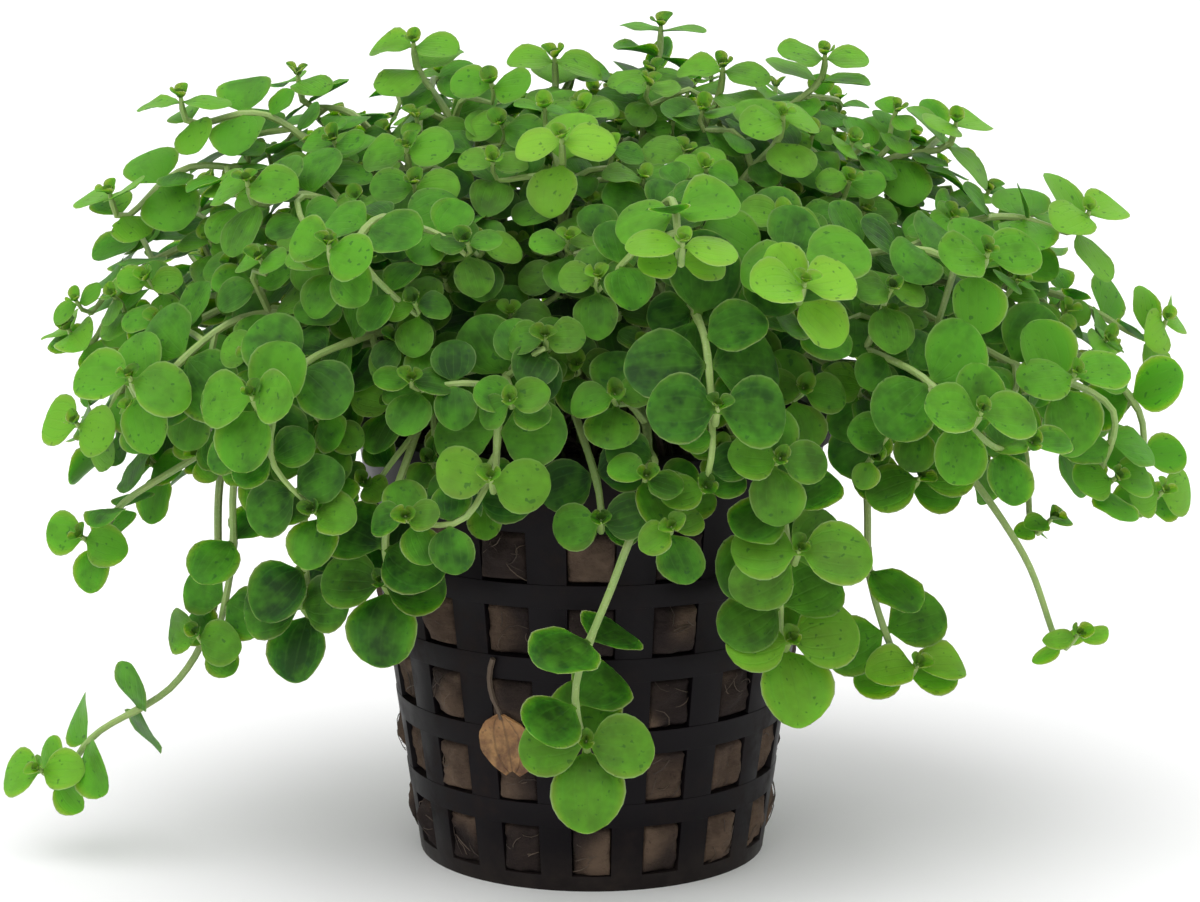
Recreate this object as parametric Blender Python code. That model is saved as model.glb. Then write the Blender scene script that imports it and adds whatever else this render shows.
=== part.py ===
"""A shade mudflower, Micranthemum umbrosum, as sold for aquariums: a cushion of creeping shoots that
grow out of a plug of rock wool in a slotted plastic net pot.

The frame: the origin is the middle of the pot's base, +X is the viewer's right, +Y points away from
the viewer and +Z is up. Sizes here are in millimetres, and MM turns them into Blender's metres.

Each shoot is one solid, a thin stem with opposite leaves. First every stem is routed from the plug to
its tip, clear of the others. Then the leaf pairs are set from the tips inwards, each turned until it
has room. The shoots whose course is plain from the front are listed by hand, and the rest fill the
widest gaps that are left in the cushion.
"""

import math
import random

import bmesh
import bpy
import numpy as np
from mathutils import Vector
from mathutils.bvhtree import BVHTree

MM = 0.001
UP = Vector((0, 0, 1))
GOLDEN_ANGLE = math.pi * (3 - math.sqrt(5))
SEED = 5

POT_TALL = 48.0
POT_TOP_RADIUS = 25.6
POT_BASE_RADIUS = 18.9
POT_WALL = 1.2
POT_FLOOR = 1.2
LIP_TALL = 1.5
LIP_WIDE = 1.0
COLUMNS = 16
ROWS = 5
ROW_PITCH = 8.2
WINDOW_SILL = 1.7
WINDOW_TALL = 5.6
WINDOW_SHARE = 0.55
SLOT_OUTER_RADIUS = 14.5
SLOT_INNER_RADIUS = 7.0
COLUMNS_PER_SLOT = 2

GAP = 0.3
WOOL_SHOULDER = 44.0
WOOL_TOP = ((18.0, 45.3), (9.0, 46.0))
WOOL_PEAK = 46.2

ROOTS = 60
ROOT_CIRCLE = 17.0
ROOT_PULL = 0.32
STEM_BIRTH = 46.6
FIRST_SIDE = Vector((1, 0.2, 0))
STEM_RADIUS = 0.45
STEM_SIDES = 3
STEM_STEP = 1.5
FEWEST_STEPS = 6
CURVE_POINTS = 12
STEM_CLEARANCE = 2.3
STEM_TRIES = 90
STEM_SWAY = 4.5
TIP_BEND = 3.6
RISE = 9.0
RISE_SPREAD = 1.25
RIM_APPROACH = 4.0
POT_CLEARANCE = 0.9
GROUND_CLEARANCE = 0.6

LEAF_HALF_THICK = 0.25
LEAF_WIDTH = 0.98
LEAF_WIDEST = 0.52
LEAF_TIP_WIDTH = 0.5
LEAF_GAP = 0.15
SIDE_LIGHT = 0.5
BACK_LIGHT = 0.85
NEAR_LIGHT = 0.35
TOP_LIGHT = 0.38
TOP_LIGHT_GAIN = 0.8
TOP_LIGHT_START = 48.0
FRONT_LIGHT = 0.5
LIGHT_REACH = 30.0
BLADE_START = 0.24
LEAF_REACH = 0.75
TUBE_ALLOWANCE = 1.2
TUBE_SIDES = 4
REACH_MARGIN = 1.0
TERMINAL_RANKS = 2
TERMINAL_LEAN = 0.45
TERMINAL_SPREAD = 0.8
LEAF_SPREAD = 0.55
LEAF_RAISE = (-0.12, 0.22)
LEAF_VARIETY = (0.93, 1.04)
LEAF_TRIES = 45
LEAF_TURN = 0.2
LEAF_MORE_TURN = 1.4
LEAF_SHRINK = 0.3
LEAF_WOBBLE = 0.33
NEARLY_ALONG = 0.97
EDGE_ON = 0.2
NODE_HALF = 0.45
NODES_FROM_TIP = (0.7, 3.6, 9.6, 16.8)
NODE_SIZES = (0.85, 1.0, 1.0, 0.95)
CURVE_STEP = 13.0

CUSHION_MIDDLE = 42.0
CUSHION_RADIUS_X = 60.0
CUSHION_RADIUS_Y = 52.0
CUSHION_RISE = 45.0
CUSHION_SQUARENESS = 2.4
CUSHION_SHOOTS = 21
CUSHION_DEPTH = (0.93, 1.0)
RISE_BIAS = 1.3
CANDIDATES = 60
FEWEST_PAIRS = 3
CUSHION_LEAF = 8.0
CUSHION_LEAF_TAPER = 0.04
# Where a cushion shoot's stem passes, as its share of the way out, its share of the tip's height and the
# height added to that.
VIA_POINTS = ((0.5, 0.35, 41.0), (0.82, 0.75, 17.0))
# Below this height and in front of this line, only listed shoots hang.
LISTED_TOP = 53.0
LISTED_FRONT = -8.0

# Each of these has its name, its leaf pairs, the length of its largest leaf and the points that its stem
# passes, the last of which is its tip.
LISTED_SHOOTS = (
    (
        "left_runner", 4, 6.6,
        (-33, -7, 57), (-39.5, -6, 44), (-40.5, -8, 29), (-45, -8, 20), (-53.5, -8, 14.5), (-60, -8, 10.5),
    ),
    ("left_hanging", 4, 6.5, (-29, -13, 57), (-37, -14, 46), (-38, -14, 35), (-42, -14, 27)),
    ("left_sprig", 3, 6.3, (-32, -3, 55), (-40, -3, 46), (-51, -2, 38.5), (-55.5, -2, 35)),
    ("left_low", 4, 7.0, (-30, -2, 63), (-47, -4, 56), (-55.5, -4, 48)),
    ("left_middle", 4, 6.7, (-32, 3, 68), (-48, 4, 64), (-57, 3, 57)),
    ("left_high", 3, 6.6, (-26, 2, 70), (-42, 2, 75), (-52, 2, 72)),
    ("crown_left", 4, 6.4, (-22, 2, 69), (-34, 2, 80), (-44, 1, 82.5)),
    ("crown_left_back", 3, 5.8, (-15, 5, 66), (-25, 8, 79), (-32, 9, 84)),
    ("crown_left_peak", 4, 6.0, (-9, 0, 66), (-15, 0, 80), (-19, 0, 88.5)),
    ("crown_middle", 4, 6.2, (-3, 1, 66), (-4, 3, 78), (-4, 4, 86.5)),
    ("crown_front", 3, 6.3, (-3, -10, 66), (-3, -17, 76), (-3, -22, 81)),
    ("crown_right_peak", 3, 5.8, (4, 4, 66), (6, 7, 81), (7.5, 8, 89.5)),
    ("crown_right", 4, 6.0, (7, 0, 65), (11, 0, 77), (14, -1, 86)),
    ("crown_far_right", 3, 6.0, (12, 1, 65), (18, 2, 78), (25, 2, 87)),
    ("crown_right_front", 3, 6.1, (10, -6, 64), (16, -9, 75), (20, -11, 82)),
    ("right_high", 4, 6.4, (18, 0, 64), (30, 0, 75), (39, 0, 80)),
    ("right_shoulder", 4, 7.0, (25, -2, 63), (42, -3, 70), (53, -4, 71)),
    ("right_tip", 4, 6.4, (30, 2, 62), (49, 4, 61), (62.5, 3, 58)),
    ("right_hanging", 4, 6.6, (31, -1, 59), (50, -2, 56), (59, -2, 49), (62, -2, 40)),
    ("right_hanging_inner", 3, 6.3, (30, -5, 57), (46, -7, 54), (54, -9, 49), (56, -9, 43)),
    ("right_thin", 2, 5.0, (30, -1, 56), (42, 0, 53), (49, -1, 45), (50, -2, 37)),
    ("right_needle", 2, 5.5, (29, -8, 53), (38, -10, 46), (46, -11, 35), (52, -12, 26.5)),
    ("right_clover", 4, 7.0, (26, -14, 54), (30, -16, 44), (30, -16, 33), (34.5, -17, 24.5)),
    ("right_low_front", 3, 7.2, (22, -13, 57), (30, -20, 52), (34, -23, 46)),
    (
        "front_hanging", 4, 8.5,
        (5, -27, 54), (5.5, -33, 47), (2.5, -34, 38), (-1.5, -34.5, 27), (-0.5, -35, 21),
    ),
    ("front_right_low", 4, 8.8, (12, -24, 55), (17, -29, 47), (19, -29, 38), (20.5, -28, 30)),
    ("front_right", 3, 8.4, (12, -22, 59), (18, -31, 50), (21, -35, 41)),
    ("front_left", 4, 7.3, (-7, -21, 60), (-9, -33, 56), (-10, -38, 49)),
    ("front_middle", 3, 6.2, (0, -24, 56), (1, -32, 50), (1, -35, 44)),
    ("left_front_hanging", 4, 7.8, (-21, -16, 56), (-28, -20, 48), (-30, -21, 39), (-30.5, -21, 32)),
    ("left_front_inner", 3, 8.0, (-15, -20, 56), (-19, -27, 48), (-21, -28, 41), (-21.5, -28, 36)),
    ("front_big", 4, 9.0, (8, -20, 64), (11, -35, 64), (12.5, -42, 57)),
    ("front_bright", 3, 6.4, (5, -16, 68), (8, -32, 76), (9, -40, 73)),
    ("front_bright_right", 4, 7.2, (11, -15, 66), (18, -31, 73), (21, -40, 69)),
    ("left_front_high", 4, 6.5, (-14, -16, 66), (-22, -28, 73), (-26, -35, 72)),
)

BLACK_PLASTIC = ((0.012, 0.010, 0.011), 0.35)
BROWN_WOOL = ((0.105, 0.062, 0.038), 0.95)
TAN_LEAF = ((0.30, 0.17, 0.08), 0.8)
LEAF_GREENS = (
    ((0.075, 0.30, 0.030), 0.45),
    ((0.045, 0.20, 0.025), 0.45),
    ((0.135, 0.38, 0.045), 0.45),
)


def clear_scene():
    for thing in list(bpy.data.objects):
        bpy.data.objects.remove(thing, do_unlink=True)


def plain_material(name, look):
    """A Principled material from a (colour, roughness) pair, made once for each name."""
    found = bpy.data.materials.get(name)
    if found:
        return found
    colour, roughness = look
    made = bpy.data.materials.new(name)
    made.use_nodes = True
    shader = made.node_tree.nodes["Principled BSDF"]
    shader.inputs["Base Color"].default_value = (*colour, 1)
    shader.inputs["Roughness"].default_value = roughness
    made.diffuse_color = (*colour, 1)
    return made


def object_from(bm, name, made_of):
    mesh = bpy.data.meshes.new(name)
    bm.to_mesh(mesh)
    bm.free()
    mesh.materials.append(made_of)
    thing = bpy.data.objects.new(name, mesh)
    bpy.context.scene.collection.objects.link(thing)
    return thing


def pot_radius(z):
    """The pot's outer radius at a height."""
    return POT_BASE_RADIUS + (POT_TOP_RADIUS - POT_BASE_RADIUS) * z / POT_TALL


def pot_angles():
    """The angles of the windows' upright edges. Even spans are windows, and one faces the viewer."""
    pitch = math.tau / COLUMNS
    half = pitch * WINDOW_SHARE / 2
    angles = []
    for column in range(COLUMNS):
        middle = column * pitch - math.pi / 2
        angles += [middle - half, middle + half]
    return angles


def ring_of(bm, radius, z):
    places = [Vector((radius * math.cos(angle), radius * math.sin(angle), z)) for angle in pot_angles()]
    return [bm.verts.new(place * MM) for place in places]


def band(bm, lower, upper, wanted=lambda span: True):
    """Quads between two rings, facing out when the ring angles run counter-clockwise."""
    count = len(lower)
    for span in range(count):
        if wanted(span):
            after = (span + 1) % count
            bm.faces.new((lower[span], lower[after], upper[after], upper[span]))


def net_pot():
    """The wall is an outer and an inner skin on one grid, with a reveal round each window."""
    bm = bmesh.new()
    heights = []
    for row in range(ROWS):
        sill = WINDOW_SILL + row * ROW_PITCH
        heights += [sill, sill + WINDOW_TALL]
    outer = [ring_of(bm, pot_radius(z), z) for z in heights]
    inner = [ring_of(bm, pot_radius(z) - POT_WALL, z) for z in heights]
    for level in range(len(heights) - 1):
        is_window_row = level % 2 == 0
        solid = (lambda span: span % 2 == 1) if is_window_row else (lambda span: True)
        band(bm, outer[level], outer[level + 1], solid)
        band(bm, inner[level + 1], inner[level], solid)
        if is_window_row:
            for span in range(0, len(outer[0]), 2):
                window_reveal(bm, outer, inner, level, span)

    lip_low = POT_TALL - LIP_TALL
    under_lip = ring_of(bm, pot_radius(lip_low), lip_low)
    lip_edge = ring_of(bm, pot_radius(POT_TALL) + LIP_WIDE, lip_low)
    lip_top = ring_of(bm, pot_radius(POT_TALL) + LIP_WIDE, POT_TALL)
    mouth = ring_of(bm, pot_radius(POT_TALL) - POT_WALL, POT_TALL)
    collar = [outer[-1], under_lip, lip_edge, lip_top, mouth, inner[-1]]
    for lower, upper in zip(collar, collar[1:]):
        band(bm, lower, upper)

    foot = ring_of(bm, pot_radius(0), 0)
    floor_edge = ring_of(bm, pot_radius(POT_FLOOR) - POT_WALL, POT_FLOOR)
    band(bm, foot, outer[0])
    band(bm, inner[0], floor_edge)
    slotted_base(bm, foot, floor_edge)
    bm.normal_update()
    return object_from(bm, "net_pot", plain_material("black_plastic", BLACK_PLASTIC))


def window_reveal(bm, outer, inner, level, span):
    after = span + 1
    bm.faces.new((outer[level][span], outer[level][after], inner[level][after], inner[level][span]))
    top = level + 1
    bm.faces.new((outer[top][after], outer[top][span], inner[top][span], inner[top][after]))
    bm.faces.new((outer[top][span], outer[level][span], inner[level][span], inner[top][span]))
    bm.faces.new((outer[level][after], outer[top][after], inner[top][after], inner[level][after]))


def slotted_base(bm, foot, floor_edge):
    """A flat base whose spokes lie under every second rib, with a solid disc in the middle."""
    below = [ring_of(bm, radius, 0) for radius in (SLOT_OUTER_RADIUS, SLOT_INNER_RADIUS)]
    above = [ring_of(bm, radius, POT_FLOOR) for radius in (SLOT_OUTER_RADIUS, SLOT_INNER_RADIUS)]

    def is_spoke(span):
        return span % (2 * COLUMNS_PER_SLOT) == 1

    def is_slot(span):
        return not is_spoke(span)

    band(bm, below[0], foot)
    band(bm, floor_edge, above[0])
    band(bm, below[1], below[0], is_spoke)
    band(bm, above[0], above[1], is_spoke)
    band(bm, above[0], below[0], is_slot)
    band(bm, below[1], above[1], is_slot)
    count = len(foot)
    for span in filter(is_spoke, range(count)):
        after = (span + 1) % count
        bm.faces.new((below[0][span], above[0][span], above[1][span], below[1][span]))
        bm.faces.new((below[1][after], above[1][after], above[0][after], below[0][after]))
    bm.faces.new(list(reversed(below[1])))
    bm.faces.new(above[1])


def rock_wool():
    """The plug fills the pot up to a gently domed top."""
    bm = bmesh.new()
    low = POT_FLOOR + GAP
    levels = [(pot_radius(z) - POT_WALL - GAP, z) for z in (low, WOOL_SHOULDER)]
    levels += WOOL_TOP
    rings = [ring_of(bm, radius, z) for radius, z in levels]
    for lower, upper in zip(rings, rings[1:]):
        band(bm, lower, upper)
    bm.faces.new(list(reversed(rings[0])))
    peak = bm.verts.new((0, 0, WOOL_PEAK * MM))
    last = rings[-1]
    for span, corner in enumerate(last):
        bm.faces.new((corner, last[(span + 1) % len(last)], peak))
    bm.normal_update()
    return object_from(bm, "rock_wool", plain_material("brown_wool", BROWN_WOOL))


def withered_leaf():
    """One dead leaf flat against the front of the wall, hanging from the stalk above it."""
    # Each station has its place across the front, its height, and its half width and half thickness.
    stations = (
        (-10.3, 25.5, 0.35, 0.3),
        (-10.6, 22.0, 0.35, 0.3),
        (-9.5, 19.6, 0.45, 0.3),
        (-9.0, 17.9, 2.8, 0.3),
        (-8.6, 15.6, 2.6, 0.3),
        (-8.3, 14.0, 1.1, 0.25),
    )
    bm = bmesh.new()
    rings = []
    for x, z, half_wide, half_thick in stations:
        stand_off = pot_radius(z) + GAP + half_thick
        out = Vector((x, -math.sqrt(stand_off**2 - x**2), 0)).normalized()
        middle = out * stand_off + UP * z
        across = out.cross(UP)
        signs = ((-1, -1), (1, -1), (1, 1), (-1, 1))
        corners = [middle + across * (i * half_wide) + out * (j * half_thick) for i, j in signs]
        rings.append([bm.verts.new(corner * MM) for corner in corners])
    for upper, lower in zip(rings, rings[1:]):
        band(bm, upper, lower)
    bm.faces.new(list(reversed(rings[0])))
    bm.faces.new(rings[-1])
    bmesh.ops.recalc_face_normals(bm, faces=bm.faces)
    return object_from(bm, "withered_leaf", plain_material("tan_leaf", TAN_LEAF))


def cushion_point(around, rise):
    """A point on the cushion's outer shape. The rise runs from 0 at its lower edge to 1 at its top."""
    power = 2 / CUSHION_SQUARENESS
    level = math.sin(rise * math.pi / 2) ** power
    spread = math.cos(rise * math.pi / 2) ** power
    return Vector((
        CUSHION_RADIUS_X * spread * math.cos(around),
        CUSHION_RADIUS_Y * spread * math.sin(around),
        CUSHION_MIDDLE + CUSHION_RISE * level,
    ))


def cushion_shoots(taken, rng):
    """Shoots whose tips fall into the widest gaps between the tips so far."""
    tips = [points[-1] for _, points, _, _ in taken]
    shoots = []
    for number in range(1, CUSHION_SHOOTS + 1):
        candidates = []
        while len(candidates) < CANDIDATES:
            around = rng.uniform(0, math.tau)
            rise = rng.uniform(0, 1) ** RISE_BIAS
            point = cushion_point(around, rise) * rng.uniform(*CUSHION_DEPTH)
            if point.y > LISTED_FRONT or point.z > LISTED_TOP:
                candidates.append(point)
        tip = max(candidates, key=lambda point: min((point - other).length for other in tips))
        tips.append(tip)
        flat = Vector((tip.x, tip.y, 0))
        vias = [flat * out + UP * (share * tip.z + lift) for out, share, lift in VIA_POINTS]
        size = CUSHION_LEAF - CUSHION_LEAF_TAPER * (tip.z - CUSHION_MIDDLE)
        pairs = FEWEST_PAIRS + number % 2
        shoots.append((f"cushion_shoot_{number:02d}", [*vias, tip], pairs, size))
    return shoots


def smooth_route(points):
    """Points at even steps along a Catmull-Rom curve through the given ones."""
    ends = [points[0] * 2 - points[1], *points, points[-1] * 2 - points[-2]]
    dense = []
    for before, start, stop, after in zip(ends, ends[1:], ends[2:], ends[3:]):
        for step in range(CURVE_POINTS):
            t = step / CURVE_POINTS
            dense.append(
                0.5 * (
                    start * 2
                    + (stop - before) * t
                    + (before * 2 - start * 5 + stop * 4 - after) * t**2
                    + (start * 3 - before - stop * 3 + after) * t**3
                )
            )
    dense.append(points[-1])
    lengths = [0.0]
    for here, there in zip(dense, dense[1:]):
        lengths.append(lengths[-1] + (there - here).length)
    count = max(FEWEST_STEPS, round(lengths[-1] / STEM_STEP))
    route = []
    index = 0
    for step in range(count + 1):
        goal = lengths[-1] * step / count
        while index < len(lengths) - 2 and lengths[index + 1] < goal:
            index += 1
        share = (goal - lengths[index]) / max(lengths[index + 1] - lengths[index], 1e-9)
        route.append(dense[index].lerp(dense[index + 1], share))
    return route


def place_on(route, from_tip):
    """The point and the forward direction at a distance from a route's tip."""
    step = (route[1] - route[0]).length
    position = max(0.0, len(route) - 1 - from_tip / step)
    index = min(int(position), len(route) - 2)
    point = route[index].lerp(route[index + 1], position - index)
    return point, (route[index + 1] - route[index]).normalized()


def stem_stations(route, pairs):
    """Where a stem has its rings, as (distance from the tip, leaf rank or None), root first."""
    length = (route[1] - route[0]).length * (len(route) - 1)
    bare = length - NODES_FROM_TIP[pairs - 1]
    bends = max(2, round(bare / CURVE_STEP))
    stations = [(length - bare * bend / bends, None) for bend in range(bends)]
    return stations + [(NODES_FROM_TIP[rank], rank) for rank in reversed(range(pairs))]


def stem_corners(route, pairs):
    """The corners of the stem's middle line."""
    corners = []
    for from_tip, rank in stem_stations(route, pairs):
        halves = (0,) if rank is None else (NODE_HALF, -NODE_HALF)
        corners += [place_on(route, from_tip + half)[0] for half in halves]
    return corners


def inside_pot(point, margin):
    """Whether a point is in the pot, in its mouth or within the margin of its wall."""
    flat = math.hypot(point.x, point.y)
    if point.z > POT_TALL + margin:
        return False
    if flat < pot_radius(POT_TALL) - POT_WALL:
        return True
    return flat < pot_radius(point.z) + LIP_WIDE + margin


def root_places():
    """The stems' feet, spread over the plug like a sunflower's seeds."""
    places = []
    for index in range(ROOTS):
        radius = ROOT_CIRCLE * math.sqrt((index + 0.5) / ROOTS)
        angle = index * GOLDEN_ANGLE
        places.append(Vector((radius * math.cos(angle), radius * math.sin(angle), STEM_BIRTH)))
    return places


def random_step(reach, rng):
    return Vector([rng.uniform(-reach, reach) for _ in range(3)])


def close_points(corners):
    """Points every STEM_STEP or so along the straight stretches between corners."""
    points = []
    for here, there in zip(corners, corners[1:]):
        count = max(1, round((there - here).length / STEM_STEP))
        points += [here.lerp(there, step / count) for step in range(count)]
    return points + [corners[-1]]


def clearance(points, others):
    """The least distance to the other stems, or -1 for a stem that meets the pot's wall."""
    past_roots = [point for point in points if math.hypot(point.x, point.y) > ROOT_CIRCLE + RIM_APPROACH]
    if any(inside_pot(point, STEM_RADIUS + GAP) for point in past_roots):
        return -1.0
    if not others:
        return math.inf
    here = np.array([tuple(point) for point in points])
    there = np.concatenate(others)
    return float(np.sqrt(((here[:, None] - there[None]) ** 2).sum(2)).min())


def route_stems(shoots, rng):
    """The route of each shoot's stem, root first, each from its own place on the plug.

    The last stretch bends towards the light, so that the leaves at the tip lie in tiers."""
    free = root_places()
    others = []
    routes = []
    for _, points, pairs, _ in shoots:
        pull = Vector((points[-1].x, points[-1].y, 0)) * ROOT_PULL
        pull.z = STEM_BIRTH
        root = min(free, key=lambda place: (place - pull).length)
        free.remove(root)
        lifted = Vector((root.x * RISE_SPREAD, root.y * RISE_SPREAD, STEM_BIRTH + RISE))
        best = None
        bend = points[-1] - facing_at(points[-1]) * TIP_BEND
        for attempt in range(STEM_TRIES):
            sway = STEM_SWAY * attempt / STEM_TRIES
            moved = [point + random_step(sway, rng) for point in [lifted, *points[:-1]]]
            route = smooth_route([root, *moved, bend, points[-1]])
            line = close_points(stem_corners(route, pairs))
            room = clearance(line, others)
            if best is None or room > best[0]:
                best = (room, route, line)
            if room > STEM_CLEARANCE:
                break
        routes.append(best[1])
        others.append(np.array([tuple(point) for point in best[2]]))
    return routes


class Leaf:
    """A leaf, given by its foot on the stem, the way it points, its upper side and its length."""

    def __init__(self, foot, along, face, length):
        self.foot = foot
        self.along = along.normalized()
        self.side = face.cross(self.along).normalized()
        self.face = self.along.cross(self.side)
        self.length = length

    def at(self, share, half_wide, half_thick=0.0):
        spine = self.foot + self.along * (self.length * share)
        return spine + self.side * half_wide + self.face * half_thick

    def widest(self):
        return self.length * LEAF_WIDTH / 2

    def hull(self, gap, start=0.0):
        """The corners of the leaf past a share of its length, grown by the gap, as lower and upper rows."""
        wide = self.widest()
        tip = 1 + gap / self.length
        along = start / LEAF_WIDEST
        start_wide = STEM_RADIUS + (wide - STEM_RADIUS) * along
        start_thick = NODE_HALF + (LEAF_HALF_THICK - NODE_HALF) * along
        outline = (
            (start, start_wide, start_thick),
            (LEAF_WIDEST, wide, LEAF_HALF_THICK),
            (tip, wide * LEAF_TIP_WIDTH, LEAF_HALF_THICK),
        )
        rows = []
        for up in (-1, 1):
            right = [self.at(share, half + gap, up * (thick + gap)) for share, half, thick in outline]
            left = [self.at(share, -half - gap, up * (thick + gap)) for share, half, thick in outline]
            rows.append(right + left[::-1])
        return rows

    def tree(self, gap, start=0.0):
        lower, upper = self.hull(gap, start)
        count = len(lower)
        faces = [list(range(count)), list(range(count, 2 * count))]
        faces += [[i, (i + 1) % count, count + (i + 1) % count, count + i] for i in range(count)]
        return BVHTree.FromPolygons(lower + upper, faces)

    def clear_of_pot(self):
        lower, upper = self.hull(LEAF_GAP, BLADE_START)
        corners = lower + upper
        middle = self.at(LEAF_WIDEST, 0)
        tests = corners + [middle] + [corner.lerp(middle, 0.5) for corner in corners]
        is_in_pot = any(inside_pot(point, POT_CLEARANCE) for point in tests)
        return not is_in_pot and min(point.z for point in tests) > GROUND_CLEARANCE


def stem_tree(line, gap):
    """A tube round a stem's middle line, for the overlap tests."""
    corners, faces = [], []
    for index, point in enumerate(line):
        along = (line[min(index + 1, len(line) - 1)] - line[max(index - 1, 0)]).normalized()
        side = along.orthogonal().normalized()
        across = along.cross(side)
        for turn in range(TUBE_SIDES):
            angle = math.tau * turn / TUBE_SIDES
            out = side * math.cos(angle) + across * math.sin(angle)
            corners.append(point + out * (STEM_RADIUS + gap) * TUBE_ALLOWANCE)
    for low in range(0, (len(line) - 1) * TUBE_SIDES, TUBE_SIDES):
        high = low + TUBE_SIDES
        for turn in range(TUBE_SIDES):
            after = (turn + 1) % TUBE_SIDES
            faces.append([low + turn, low + after, high + after, high + turn])
    return BVHTree.FromPolygons(corners, faces)


def facing_at(point):
    """Where a leaf here turns its upper side: up, out from the cushion and to the light in front."""
    depth = point.y / CUSHION_RADIUS_Y
    away = depth * (BACK_LIGHT if depth > 0 else NEAR_LIGHT)
    front = min(1.0, max(0.0, (LIGHT_REACH - point.y) / LIGHT_REACH))
    lift = max(0.0, (point.z - TOP_LIGHT_START) / CUSHION_RISE)
    return Vector((
        SIDE_LIGHT * point.x / CUSHION_RADIUS_X,
        away - FRONT_LIGHT * front,
        TOP_LIGHT + TOP_LIGHT_GAIN * lift,
    )).normalized()


def leaf_pair(route, from_tip, turn, length, is_terminal, rng):
    """Two opposite leaves on a stem. A terminal pair opens towards the light like a clover's leaves."""
    point, forward = place_on(route, from_tip)
    light = (facing_at(point) + random_step(LEAF_WOBBLE, rng)).normalized()
    axis = (forward * TERMINAL_LEAN + light).normalized() if is_terminal else forward
    side = axis.cross(light if abs(axis.dot(light)) < NEARLY_ALONG else UP).normalized()
    across = axis.cross(side)
    leaves = []
    for half_turn in (0, math.pi):
        out = side * math.cos(turn + half_turn) + across * math.sin(turn + half_turn)
        flattened = out - light * out.dot(light) * (TERMINAL_SPREAD if is_terminal else LEAF_SPREAD)
        along = (flattened.normalized() + light * rng.uniform(*LEAF_RAISE)).normalized()
        face = light - along * light.dot(along)
        if face.length < EDGE_ON:
            face = forward - along * forward.dot(along)
        leaves.append(Leaf(point, along, face.normalized(), length * rng.uniform(*LEAF_VARIETY)))
    return leaves


class Crowd:
    """What is already placed, as (shoot, middle, reach, tree), to test new leaves against."""

    def __init__(self, shoots, routes):
        self.items = []
        for number, ((_, _, pairs, _), route) in enumerate(zip(shoots, routes)):
            corners = stem_corners(route, pairs)
            middle = (corners[0] + corners[-1]) / 2
            reach = max((corner - middle).length for corner in corners) + REACH_MARGIN
            self.items.append((number, middle, reach, stem_tree(corners, LEAF_GAP)))

    def room_for(self, leaf, shoot):
        """Whether the leaf is clear of all else. Its foot may touch its own shoot."""
        if not leaf.clear_of_pot():
            return False
        middle = leaf.at(0.5, 0)
        whole = leaf.tree(LEAF_GAP)
        blade = leaf.tree(LEAF_GAP, BLADE_START)
        return not any(
            (middle - centre).length < reach + leaf.length * LEAF_REACH
            and (blade if owner == shoot else whole).overlap(other)
            for owner, centre, reach, other in self.items
        )

    def add(self, leaf, shoot):
        self.items.append((shoot, leaf.at(0.5, 0), leaf.length * LEAF_REACH, leaf.tree(LEAF_GAP)))


def grow_pair(crowd, shoot, route, rank, size, rng):
    """A pair with room for both leaves, or None. Later tries turn it further and shrink it."""
    for attempt in range(LEAF_TRIES):
        effort = attempt / LEAF_TRIES
        turn = rank * math.pi / 2 + rng.uniform(-1, 1) * (LEAF_TURN + LEAF_MORE_TURN * effort)
        length = size * NODE_SIZES[rank] * (1 - LEAF_SHRINK * effort)
        pair = leaf_pair(route, NODES_FROM_TIP[rank], turn, length, rank < TERMINAL_RANKS, rng)
        if all(crowd.room_for(leaf, shoot) for leaf in pair):
            return pair
    return None


def plan_leaves(shoots, routes, rng):
    """The leaf pairs of each shoot, as {rank: pair}, set from the tips inwards."""
    crowd = Crowd(shoots, routes)
    plans = [{} for _ in shoots]
    for rank in range(len(NODES_FROM_TIP)):
        for number, (_, _, pairs, size) in enumerate(shoots):
            if rank >= pairs:
                continue
            pair = grow_pair(crowd, number, routes[number], rank, size, rng)
            if pair is None:
                continue
            plans[number][rank] = pair
            for leaf in pair:
                crowd.add(leaf, number)
    return plans


def stem_ring(bm, centre, along, side):
    """Three corners round a stem. The first lies to the side, and the others follow counter-clockwise."""
    side = (side - along * side.dot(along)).normalized()
    across = along.cross(side)
    corners = []
    for turn in range(STEM_SIDES):
        angle = math.tau * turn / STEM_SIDES
        offset = (side * math.cos(angle) + across * math.sin(angle)) * STEM_RADIUS
        corners.append(bm.verts.new((centre + offset) * MM))
    return corners


def matched(ring, other):
    """The other ring, started at the corner that twists the faces between the two least."""
    count = len(ring)
    shifts = [other[shift:] + other[:shift] for shift in range(count)]
    return min(shifts, key=lambda shifted: sum((a.co - b.co).length for a, b in zip(ring, shifted)))


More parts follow.
